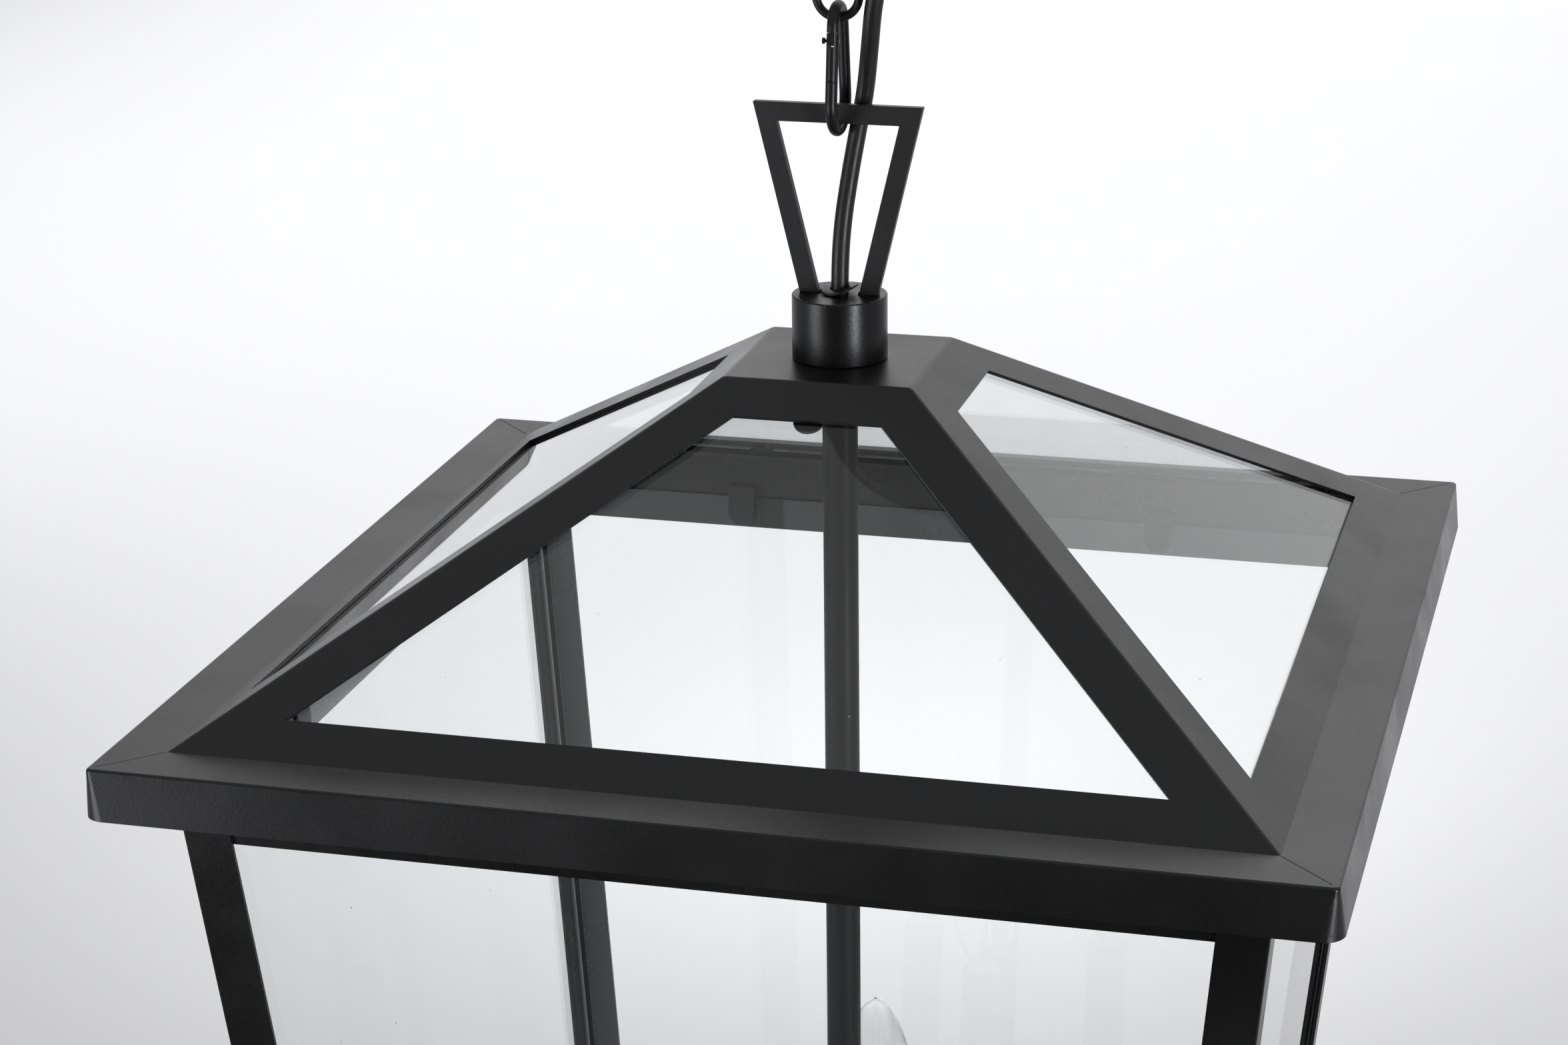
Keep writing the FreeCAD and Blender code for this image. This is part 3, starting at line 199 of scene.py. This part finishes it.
# Stretches from the top: name, length, the bodies of the joint that each one crosses, and the
# heights between which it bends from one to the other.
CABLE_STRETCHES = [
    ("supply_cable_top", 0.0450, "ceiling_mount", "chain_link_1", -0.040, -0.076),
    ("supply_cable_by_link", 0.0450, "chain_link_1", "chain_link_2", -0.082, -0.110),
    ("supply_cable_by_hook", 0.0450, "chain_link_2", "snap_hook", -0.125, -0.142),
    ("supply_cable_low", 0.0745, "snap_hook", "lantern", -0.168, -0.200),
]


def nurbs_line(points, resolution):
    """Points read from a NURBS spline that has the given control points."""
    curve = bpy.data.curves.new("route", "CURVE")
    curve.dimensions = "3D"
    spline = curve.splines.new("NURBS")
    spline.points.add(len(points) - 1)
    for target, point in zip(spline.points, points):
        target.co = (*point, 1.0)
    spline.order_u = 3
    spline.use_endpoint_u = True
    spline.resolution_u = resolution
    carrier = bpy.data.objects.new("route", curve)
    mesh = bpy.data.meshes.new_from_object(carrier)
    line = [vertex.co.copy() for vertex in mesh.vertices]
    bpy.data.meshes.remove(mesh)
    bpy.data.objects.remove(carrier)
    bpy.data.curves.remove(curve)
    return line


def cable_pieces():
    """The cable's stretches, cut one after another from one tube along the route."""
    line = list(reversed(nurbs_line(CABLE_ROUTE, ROUTE_STEPS)))
    radius = CABLE_DIAMETER / 2
    rings = rings_along(line, lambda index, angle: radius, CABLE_SIDES)
    run = [0.0]
    for before, after in zip(line, line[1:]):
        run.append(run[-1] + (after - before).length)
    pieces, first, reached = [], 0, 0.0
    for name, length, body_above, body_below, bend_start, bend_end in CABLE_STRETCHES:
        reached += length
        last = min(range(len(run)), key=lambda index: abs(run[index] - reached))
        if name == CABLE_STRETCHES[-1][0]:
            last = len(line) - 1
        piece = mesh_object(name, *skin(rings[first:last + 1]))
        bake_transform(piece)
        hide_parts("supply_cable")
        pieces.append(piece)
        first = last
    return pieces


CABLE = cable_pieces()


# ---------------------------------------------------------------- material helpers
class Finish:
    """A node material on one Principled shader, with short calls for its nodes."""

    def __init__(self, name):
        self.material = bpy.data.materials.new(name)
        self.material.use_nodes = True
        self.tree = self.material.node_tree
        self.shader = self.tree.nodes["Principled BSDF"]
        self.where = self.node("ShaderNodeTexCoord").outputs["Object"]

    def node(self, kind, inputs=(), **settings):
        """Adds a node; inputs is a dict of values or of sockets to link."""
        made = self.tree.nodes.new(kind)
        for key, value in settings.items():
            setattr(made, key, value)
        for key, value in dict(inputs).items():
            self.feed(made.inputs[key], value)
        return made

    def feed(self, socket, value):
        """Sets a socket, or links it if the value is a socket."""
        if isinstance(value, bpy.types.NodeSocket):
            self.tree.links.new(value, socket)
        else:
            socket.default_value = value

    def set(self, **values):
        """Sets the shader's own sockets; underscores stand for spaces."""
        for key, value in values.items():
            self.feed(self.shader.inputs[key.replace("_", " ")], value)

    def noise(self, size, detail=2.0, rough=0.5, where=None):
        """Noise with features about size metres across, from 0 to 1."""
        inputs = {
            "Vector": where or self.where,
            "Scale": 1.0 / size,
            "Detail": detail,
            "Roughness": rough,
        }
        return self.node("ShaderNodeTexNoise", inputs).outputs["Fac"]

    def math(self, operation, first, second=0.0):
        """One math node."""
        return self.node("ShaderNodeMath", {0: first, 1: second}, operation=operation).outputs[0]

    def remap(self, value, low, high, new_low, new_high):
        """Linear map of a range, clamped."""
        inputs = {"Value": value, "From Min": low, "From Max": high, "To Min": new_low, "To Max": new_high}
        return self.node("ShaderNodeMapRange", inputs).outputs["Result"]

    def mix(self, share, first, second):
        """Mixes two colours."""
        made = self.node("ShaderNodeMix", data_type="RGBA")
        for index, value in ((0, share), (6, first), (7, second)):
            self.feed(made.inputs[index], value)
        return made.outputs[2]

    def bump(self, height, distance):
        """Bump of a height from 0 to 1, distance metres high."""
        inputs = {"Height": height, "Distance": distance, "Strength": 1.0}
        return self.node("ShaderNodeBump", inputs).outputs["Normal"]


def grey(value):
    """A neutral colour."""
    return (value, value, value, 1.0)


# ---------------------------------------------------------------- coated steel
CLOUD_SIZE = 0.06           # slow changes in the coat's tone and sheen
CLOUD_SHEEN = 0.05          # how far they move its roughness
MOTTLE_SHEEN = 0.02         # how far its fine mottle moves it
COAT_TINT = (0.95, 0.96, 1.0, 1)
DUST_CELLS = 260.0          # cells to the metre, each with room for one speck
DUST_FADE = (0.055, 0.03)   # a speck's outer and inner radius, as shares of its cell
DUST_PATCH = 0.02           # size of the patches that dust settles in
DUST_GREY = 0.2
BARE_METAL = (0.30, 0.28, 0.26, 1)


def powder_coat(name, tone, roughness, peel_size, peel_height, gloss=0.5, wear=None):
    """Satin black powder coat with fine orange peel, uneven sheen and stray dust."""
    finish = Finish(name)
    cloud = finish.noise(CLOUD_SIZE, 3.0)
    peel = finish.noise(peel_size, 2.0, 0.6)
    grain = finish.noise(peel_size * 0.35, 1.0)
    height = finish.math("ADD", peel, finish.math("MULTIPLY", grain, 0.45))
    colour = finish.mix(
        finish.remap(cloud, 0.3, 0.7, 0.0, 1.0), grey(tone * 0.82), (tone * 1.15, tone * 1.15, tone * 1.2, 1)
    )
    cells = finish.node("ShaderNodeTexVoronoi", {"Vector": finish.where, "Scale": DUST_CELLS})
    facing_up = finish.node(
        "ShaderNodeSeparateXYZ", {0: finish.node("ShaderNodeNewGeometry").outputs["Normal"]}
    ).outputs["Z"]
    settled = finish.remap(facing_up, 0.4, 0.9, 0.1, 1.0)
    dust = finish.math("MULTIPLY", finish.remap(cells.outputs["Distance"], *DUST_FADE, 0.0, 0.5), settled)
    dust = finish.math("MULTIPLY", dust, finish.remap(finish.noise(DUST_PATCH), 0.5, 0.68, 0.0, 1.0))
    colour = finish.mix(dust, colour, grey(DUST_GREY))
    sheen = finish.remap(cloud, 0.35, 0.65, roughness - CLOUD_SHEEN, roughness + CLOUD_SHEEN)
    mottle = finish.noise(peel_size * 1.7, 2.0, 0.5)
    sheen = finish.math("ADD", sheen, finish.remap(mottle, 0.3, 0.7, -MOTTLE_SHEEN, MOTTLE_SHEEN))
    if wear is not None:
        worn = wear(finish)
        colour = finish.mix(worn, colour, BARE_METAL)
    finish.set(
        Base_Color=colour,
        Roughness=sheen,
        Specular_IOR_Level=gloss,
        Specular_Tint=COAT_TINT,
        Normal=finish.bump(height, peel_height),
    )
    return finish.material


def rim_wear(radius, height):
    """Chips of bare metal along a turned rim of that radius and height."""

    def chips(finish):
        parts = finish.node("ShaderNodeSeparateXYZ", {0: finish.where}).outputs
        flat = finish.node("ShaderNodeCombineXYZ", {"X": parts["X"], "Y": parts["Y"]}).outputs[0]
        out = finish.node("ShaderNodeVectorMath", {0: flat}, operation="LENGTH").outputs["Value"]
        from_rim = finish.math("ABSOLUTE", finish.math("SUBTRACT", out, radius - 0.0004))
        from_top = finish.math("ABSOLUTE", finish.math("SUBTRACT", parts["Z"], height - 0.0003))
        near = finish.remap(finish.math("ADD", from_rim, from_top), 0.0004, 0.0014, 1.0, 0.0)
        broken = finish.remap(finish.noise(0.0016, 3.0, 0.7), 0.60, 0.72, 0.0, 0.75)
        return finish.math("MULTIPLY", near, broken)

    return chips


# ---------------------------------------------------------------- the other materials
def clear_glass(name, specks):
    """Clear glass with stray specks of dust, specks to the metre."""
    finish = Finish(name)
    dots = finish.node("ShaderNodeTexVoronoi", {"Vector": finish.where, "Scale": specks}).outputs["Distance"]
    sparse = finish.remap(finish.noise(2.2 / specks, 1.0), 0.60, 0.66, 0.0, 1.0)
    dust = finish.math("MULTIPLY", finish.remap(dots, 0.034, 0.022, 0.0, 0.8), sparse)
    finish.set(
        Base_Color=finish.mix(dust, (1.0, 1.0, 1.0, 1), (0.55, 0.55, 0.55, 1)),
        Roughness=finish.remap(dust, 0.0, 0.8, 0.0, 0.6),
        IOR=1.5,
        Transmission_Weight=finish.math("SUBTRACT", 1.0, dust),
    )
    return finish


def float_glass():
    """Window glass with a green body colour."""
    finish = clear_glass("float_glass", 55.0)
    depth = finish.node("ShaderNodeVolumeAbsorption", {"Color": (0.45, 0.90, 0.86, 1), "Density": 3.5})
    finish.tree.links.new(depth.outputs[0], finish.tree.nodes["Material Output"].inputs["Volume"])
    return finish.material


def cable_sheath():
    """Black PVC sheath, faintly rippled by the cores laid up under it."""
    finish = Finish("cable_sheath")
    ripple = finish.noise(0.010, 1.0)
    fine = finish.noise(0.0005, 1.0)
    height = finish.math("ADD", ripple, finish.math("MULTIPLY", fine, 0.04))
    finish.set(
        Base_Color=finish.mix(finish.noise(0.03), grey(0.010), grey(0.017)),
        Roughness=finish.remap(finish.noise(0.004), 0.3, 0.7, 0.34, 0.44),
        Specular_IOR_Level=0.45,
        Normal=finish.bump(height, 0.00012),
    )
    return finish.material


def black_rubber():
    """Moulded rubber with a talc bloom."""
    finish = Finish("black_rubber")
    bloom = finish.noise(0.003, 4.0, 0.7)
    finish.set(
        Base_Color=finish.mix(finish.remap(bloom, 0.45, 0.75, 0.0, 1.0), grey(0.006), grey(0.016)),
        Roughness=finish.remap(bloom, 0.3, 0.7, 0.26, 0.42),
        Specular_IOR_Level=0.4,
        Normal=finish.bump(finish.noise(0.0006, 2.0), 0.00003),
    )
    return finish.material


def zinc_steel():
    """Bright zinc plate with rolling marks along X."""
    finish = Finish("zinc_steel")
    along = finish.node("ShaderNodeMapping", {"Vector": finish.where, "Scale": (1.0, 30.0, 30.0)}).outputs[0]
    marks = finish.noise(0.02, 3.0, 0.7, where=along)
    finish.set(
        Base_Color=finish.mix(finish.noise(0.012, 3.0), (0.52, 0.52, 0.50, 1), (0.70, 0.69, 0.66, 1)),
        Metallic=1.0,
        Roughness=finish.remap(marks, 0.3, 0.7, 0.26, 0.46),
        Normal=finish.bump(marks, 0.00002),
    )
    return finish.material


def moulded_plastic(name, tone, roughness):
    """Moulded plastic with a fine spark-eroded texture."""
    finish = Finish(name)
    grain = finish.noise(0.0004, 2.0)
    finish.set(
        Base_Color=finish.mix(finish.noise(0.01, 2.0), grey(tone * 0.93), grey(tone)),
        Roughness=finish.remap(grain, 0.3, 0.7, roughness - 0.05, roughness + 0.05),
        Normal=finish.bump(grain, 0.00002),
    )
    return finish.material


def lamp_brass():
    """Pressed nickel-brass lamp base, a little dulled."""
    finish = Finish("lamp_brass")
    dull = finish.noise(0.004, 4.0, 0.6)
    finish.set(
        Base_Color=finish.mix(dull, (0.62, 0.56, 0.42, 1), (0.80, 0.75, 0.62, 1)),
        Metallic=1.0,
        Roughness=finish.remap(dull, 0.3, 0.7, 0.22, 0.42),
        Normal=finish.bump(finish.noise(0.0005, 2.0), 0.00001),
    )
    return finish.material


def filament_coat():
    """Yellow silicone over the rows of small lamp chips."""
    finish = Finish("filament_coat")
    bead = finish.noise(0.0011, 1.0)
    finish.set(
        Base_Color=finish.mix(bead, (0.86, 0.58, 0.14, 1), (0.95, 0.74, 0.28, 1)),
        Roughness=0.42,
        Subsurface_Weight=0.2,
        Subsurface_Radius=(0.001, 0.0006, 0.0002),
        Normal=finish.bump(bead, 0.00008),
    )
    return finish.material


def thin_wire():
    """Bright nickel support wire."""
    finish = Finish("thin_wire")
    finish.set(
        Base_Color=finish.mix(finish.noise(0.002), (0.50, 0.49, 0.47, 1), (0.68, 0.66, 0.63, 1)),
        Metallic=1.0,
        Roughness=0.3,
    )
    return finish.material


BULB_GLASS = clear_glass("bulb_glass", 90.0).material
FILAMENT_COAT = filament_coat()
THIN_WIRE = thin_wire()
RUBBER = black_rubber()
SHEATH = cable_sheath()
COAT = powder_coat("black_coat", tone=0.0070, roughness=0.31, peel_size=0.0010, peel_height=0.00004)
WIRE_COAT = powder_coat(
    "black_wire_coat", tone=0.009, roughness=0.40, peel_size=0.0010, peel_height=0.00003, gloss=0.40
)
LOOP_COAT = powder_coat("black_loop_coat", tone=0.018, roughness=0.42, peel_size=0.0008, peel_height=0.00005)
HUB_COAT = powder_coat(
    "black_hub_coat", tone=0.0045, roughness=0.33, peel_size=0.0009, peel_height=0.00004, gloss=0.45,
    wear=rim_wear(HUB_RADIUS, HUB_TOP),
)
STEM_COAT = powder_coat(
    "black_stem_coat", tone=0.0045, roughness=0.38, peel_size=0.0010, peel_height=0.00004, gloss=0.25
)
SLOT_FINISH = {
    "black_coat": COAT,
    "black_steel": WIRE_COAT,
    "clear_glass": float_glass(),
    "cable_sheath": SHEATH,
    "rubber": RUBBER,
    "zinc_steel": zinc_steel(),
    "white_plastic": moulded_plastic("white_plastic", 0.78, 0.42),
    "black_plastic": moulded_plastic("black_plastic", 0.014, 0.45),
    "bulb_glass": BULB_GLASS,
    "brass_base": lamp_brass(),
    "filament": FILAMENT_COAT,
}


def dress(piece, *materials):
    """Gives a piece these materials in place of any it has."""
    piece.data.materials.clear()
    for material in materials:
        piece.data.materials.append(material)


for subpart in RECORD["subparts"]:
    dress(NODES[subpart["node"]], SLOT_FINISH[subpart["material_slot"]])
dress(NODES["loop_hub"], HUB_COAT)
dress(NODES["hanging_loop"], LOOP_COAT)
dress(NODES["lamp_stem"], STEM_COAT)
for stretch in CABLE:
    dress(stretch, SHEATH)


# ---------------------------------------------------------------- small detail round the hub
def grommet():
    """Soft rubber washer, dished and lifted at one side, round the cable on the hub."""
    sides, bore, rim, half = 64, 0.0041, 0.0078, 0.00085
    section = []
    for step in range(9):
        share = step / 8
        section.append((bore + (rim - bore) * share, half * (1 - 0.55 * share ** 2)))
    outline = section + [(rim + 0.0002, 0.0)] + [(r, -h) for r, h in reversed(section)]
    rings = []
    for radius, height in outline:
        ring = []
        for step in range(sides):
            angle = math.tau * step / sides
            lift = 0.0017 + 0.0014 * math.cos(angle - 0.35) * radius / rim
            lift += 0.0007 * math.cos(2 * angle + 0.4) * (radius / rim) ** 2
            lift += 0.0004 * (radius / rim) ** 2
            ring.append(Vector((radius * math.cos(angle), radius * math.sin(angle), HUB_TOP + lift + height)))
        rings.append(ring)
    points, faces = skin(rings, closed_ends=False)
    last = (len(rings) - 1) * sides
    for step in range(sides):
        after = (step + 1) % sides
        faces.append((last + step, last + after, after, step))
    piece = mesh_object("cable_grommet", points, faces)
    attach(piece, "lantern")
    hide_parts("hub_grommet")
    dress(piece, RUBBER)


def weld_bead(start, end, radius, seed):
    """Short fillet weld: a run of overlapping ripples with an uneven toe."""
    draw = random.Random(seed)
    offset = Vector((draw.uniform(0, 50), draw.uniform(0, 50), draw.uniform(0, 50)))
    count = 40
    line = [start.lerp(end, index / (count - 1)) for index in range(count)]

    def radius_at(index, angle):
        share = index / (count - 1)
        ends = min(1.0, 4.5 * min(share, 1 - share) + 0.35)
        ripple = 1 + 0.16 * math.cos(math.tau * share * (end - start).length / 0.0011)
        rough = 1 + 0.22 * noise.noise(offset + line[index] * 900)
        return radius * ends * ripple * rough

    points, faces = skin(rings_along(line, radius_at, 14))
    return points, faces


def loop_welds():
    """Small uneven welds at the inner side of the loop's two feet."""
    half_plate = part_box("hanging_loop")[1].y
    beads = []
    for side in (-1, 1):
        inner = side * 0.0089
        level = HUB_TOP + 0.0001
        start, end = Vector((inner, -half_plate * 0.9, level)), Vector((inner, half_plate * 0.7, level))
        beads.append(weld_bead(start, end, 0.0009, 30 + side))
        start, end = Vector((inner, -half_plate, level)), Vector((inner + side * 0.0022, -half_plate, level))
        beads.append(weld_bead(start, end, 0.0005, 60 + side))
    piece = joined("loop_welds", beads)
    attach(piece, "lantern")
    dress(piece, HUB_COAT)


# ---------------------------------------------------------------- inside the bulbs
# Places inside a bulb: distance from its axis and height over its seat.
STALK_PROFILE = [
    (0.0001, 0.0010), (0.0046, 0.0010), (0.0044, 0.0024), (0.0027, 0.0070), (0.0020, 0.0120),
    (0.0016, 0.0200), (0.0017, 0.0242), (0.0012, 0.0252), (0.0001, 0.0256),
]
STICK_FOOT = (0.0022, 0.0225)
STICK_HEAD = (0.0060, 0.0428)
STICK_RADIUS = 0.00072
WIRE_ROOT = (0.0010, 0.0235)
WIRE_BEND = (0.0021, 0.0205)
WIRE_TIP = 0.0440           # height at which the sticks' wires meet
WIRE_RADIUS = 0.00022
MIDDLE_WIRE = (0.0240, 0.0340, WIRE_TIP)
MIDDLE_WIRE_RADIUS = 0.0002


def bulb_insides(number):
    """Glass stalk, support wires and four coated sticks inside one bulb."""
    low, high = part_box(f"bulb_glass_{number}")
    centre = Vector(((low.x + high.x) / 2, (low.y + high.y) / 2, BULB_SEAT))
    stalk = lathe(STALK_PROFILE, 24, centre)

    def spot(out, place):
        return centre + out * place[0] + UP * place[1]

    def round_bar(path, radius, sides):
        return skin(rings_along(path, lambda index, angle: radius, sides))

    sticks, wires = [], []
    for step in range(4):
        turn = math.tau * step / 4 + 0.3
        out = Vector((math.cos(turn), math.sin(turn), 0))
        foot, head = spot(out, STICK_FOOT), spot(out, STICK_HEAD)
        sticks.append(round_bar([foot.lerp(head, k / 6) for k in range(7)], STICK_RADIUS, 10))
        root, bent = spot(out, WIRE_ROOT), spot(out, WIRE_BEND)
        wires.append(round_bar([root, root.lerp(bent, 0.5), bent, foot], WIRE_RADIUS, 8))
        tip = centre + UP * WIRE_TIP
        wires.append(round_bar([head, head.lerp(tip, 0.5) + UP * 0.0006, tip], WIRE_RADIUS, 8))
    wires.append(round_bar([centre + UP * height for height in MIDDLE_WIRE], MIDDLE_WIRE_RADIUS, 8))
    piece = joined(f"bulb_{number}_insides", [stalk] + sticks + wires)
    dress(piece, BULB_GLASS, FILAMENT_COAT, THIN_WIRE)
    stalk_faces = len(stalk[1])
    stick_faces = stalk_faces + sum(len(stick[1]) for stick in sticks)
    for index, face in enumerate(piece.data.polygons):
        face.material_index = 0 if index < stalk_faces else 1 if index < stick_faces else 2
    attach(piece, "lantern")
    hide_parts("bulb_filaments")


grommet()
loop_welds()
for bulb_number in (1, 2, 3):
    bulb_insides(bulb_number)


# ---------------------------------------------------------------- floor, lights and world
FLOOR_BELOW = 0.45          # the floor lies this far under the lantern
FLOOR_Z = cad_low.z - FLOOR_BELOW
FLOOR_HALF = 60.0           # from its middle to each side
CARD_X = (-1.2, 4)
CARD_Y = (-7, -0.7)
CARD_LIFT = 0.01


def level_sheet(name, reach_x, reach_y, z):
    """Flat rectangle at one height."""
    (left, right), (near, far) = reach_x, reach_y
    points = [(left, near, z), (right, near, z), (right, far, z), (left, far, z)]
    return mesh_object(name, points, [(0, 1, 2, 3)], smooth=False)


def add_floor():
    """Plain pale floor."""
    reach = (-FLOOR_HALF, FLOOR_HALF)
    floor = level_sheet("floor", reach, reach, FLOOR_Z)
    finish = Finish("pale_floor")
    finish.set(
        Base_Color=finish.mix(finish.noise(0.8, 2.0), (0.895, 0.895, 0.920, 1), (0.915, 0.915, 0.938, 1)),
        Roughness=0.9,
        Specular_IOR_Level=0.1,
    )
    dress(floor, finish.material)
    return floor


def add_dark_card():
    """Black card on the floor in front, there only for the reflections in the coating."""
    card = level_sheet("dark_card", CARD_X, CARD_Y, FLOOR_Z + CARD_LIFT)
    finish = Finish("dark_card")
    finish.set(Base_Color=grey(0.02), Roughness=0.9, Specular_IOR_Level=0.1)
    dress(card, finish.material)
    card.visible_camera = False
    card.visible_diffuse = False
    card.visible_transmission = False
    card.visible_shadow = False


def add_softbox(name, place, target, width, height, power, lights_up):
    """Rectangular light at place, aimed at target, unseen by the camera."""
    data = bpy.data.lights.new(name, "AREA")
    data.shape = "RECTANGLE"
    data.size = width
    data.size_y = height
    data.energy = power
    light = bpy.data.objects.new(name, data)
    bpy.context.scene.collection.objects.link(light)
    light.location = place
    light.rotation_mode = "QUATERNION"
    light.rotation_quaternion = (Vector(target) - Vector(place)).to_track_quat("-Z", "Y")
    light.visible_camera = False
    light.light_linking.receiver_collection = lights_up
    return light


def linked_set(name, pieces, state):
    """Collection for light linking that includes or excludes these pieces."""
    collection = bpy.data.collections.new(name)
    for piece in pieces:
        collection.objects.link(piece)
    for member in collection.collection_objects:
        member.light_linking.link_state = state
    return collection


def around(azimuth, distance, z):
    """Point at a compass angle in degrees, +X at 0 and +Y at 90, round the lantern."""
    angle = math.radians(azimuth)
    return (distance * math.cos(angle), distance * math.sin(angle), z)


class Sky:
    """World whose brightness depends on direction."""

    def __init__(self):
        world = bpy.data.worlds.new("studio")
        bpy.context.scene.world = world
        world.use_nodes = True
        self.tree = world.node_tree
        self.background = self.tree.nodes["Background"]
        where = self.tree.nodes.new("ShaderNodeTexCoord").outputs["Generated"]
        self.parts = self.tree.nodes.new("ShaderNodeSeparateXYZ")
        self.tree.links.new(where, self.parts.inputs[0])

    def math(self, operation, first, second=0.0):
        made = self.tree.nodes.new("ShaderNodeMath")
        made.operation = operation
        for socket, value in zip(made.inputs, (first, second)):
            if isinstance(value, bpy.types.NodeSocket):
                self.tree.links.new(value, socket)
            else:
                socket.default_value = value
        return made.outputs[0]

    def ramp(self, socket, low, high, new_low, new_high):
        made = self.tree.nodes.new("ShaderNodeMapRange")
        made.interpolation_type = "SMOOTHSTEP"
        for key, value in zip(("From Min", "From Max", "To Min", "To Max"), (low, high, new_low, new_high)):
            made.inputs[key].default_value = value
        self.tree.links.new(socket, made.inputs["Value"])
        return made.outputs["Result"]


SIDE_GLOW = 0.065           # low down, beside and in front of the lantern
BACK_GLOW = 0.95            # low down, behind it
TOP_GLOW = 0.42             # overhead
BACK_TURN = 0.15            # how far the bright side is turned to the left, as a share of the distance
BACK_EDGE = (0.62, 0.93)    # share of the way to the back at which the back's glow starts and is full
TOP_EDGE = (0.12, 0.72)     # share of the way up at which the glow from above starts and is full


def add_world():
    """Soft surroundings: bright low down behind the lantern, less than half as bright overhead."""
    sky = Sky()
    x, y, z = sky.parts.outputs
    across = sky.math("ADD", x, BACK_TURN)
    level = sky.math("ADD", sky.math("MULTIPLY", across, across), sky.math("MULTIPLY", y, y))
    toward = sky.math("DIVIDE", y, sky.math("SQRT", level))
    behind = sky.ramp(toward, *BACK_EDGE, SIDE_GLOW, BACK_GLOW)
    high = sky.ramp(z, *TOP_EDGE, 0.0, 1.0)
    glow = sky.math("ADD", sky.math("MULTIPLY", sky.math("SUBTRACT", 1.0, high), behind),
                    sky.math("MULTIPLY", high, TOP_GLOW))
    sky.tree.links.new(glow, sky.background.inputs["Strength"])
    sky.background.inputs["Color"].default_value = (0.99, 0.99, 1.0, 1)


# Lights that fall on the floor alone: name, x, y, height over the floor, width, depth, watts.
FLOOR_LIGHTS = [
    ("far_floor_light", -1.3, 6.5, 1.1, 4.8, 8.8, 108),
    ("near_floor_light", -0.42, 1.8, 0.85, 0.5, 0.5, 4.2),
    ("horizon_floor_light", -4.0, 20.4, 2.5, 24.0, 19.2, 980),
    ("left_floor_light", -6.6, 14.2, 1.2, 5.0, 5.0, 24),
]
# Lights that fall on all but the floor and the panes: name, compass angle, distance from the axis,
# height, width, depth, watts.
LANTERN_LIGHTS = [
    ("back_top_box", 90, 2.6, 1.6, 2.6, 1.2, 10),
    ("right_front_box", -39, 2.2, -0.45, 0.32, 1.2, 24),
    ("left_front_box", -136, 2.2, -0.75, 0.9, 1.4, 17),
]

floor = add_floor()
add_dark_card()
add_world()
panes = [piece for node, piece in NODES.items() if "_pane_" in node and "clips" not in node]
for pane in panes + [NODES[f"bulb_glass_{number}"] for number in (1, 2, 3)]:
    pane.visible_shadow = False
for node in ("ceiling_canopy", "mounting_bar"):
    NODES[node].visible_glossy = False
floor_only = linked_set("floor_only", [floor], "INCLUDE")
coated_only = linked_set("coated_only", [floor] + panes, "EXCLUDE")
MIDDLE = Vector((0, 0, EAVE_Z))
for name, x, y, rise, width, depth, power in FLOOR_LIGHTS:
    light = add_softbox(name, (x, y, FLOOR_Z + rise), (x, y, FLOOR_Z), width, depth, power, floor_only)
    light.visible_glossy = False
    light.visible_transmission = False
for name, azimuth, distance, height, width, depth, power in LANTERN_LIGHTS:
    add_softbox(name, around(azimuth, distance, height), MIDDLE, width, depth, power, coated_only)
bpy.context.scene.view_settings.view_transform = "Standard"
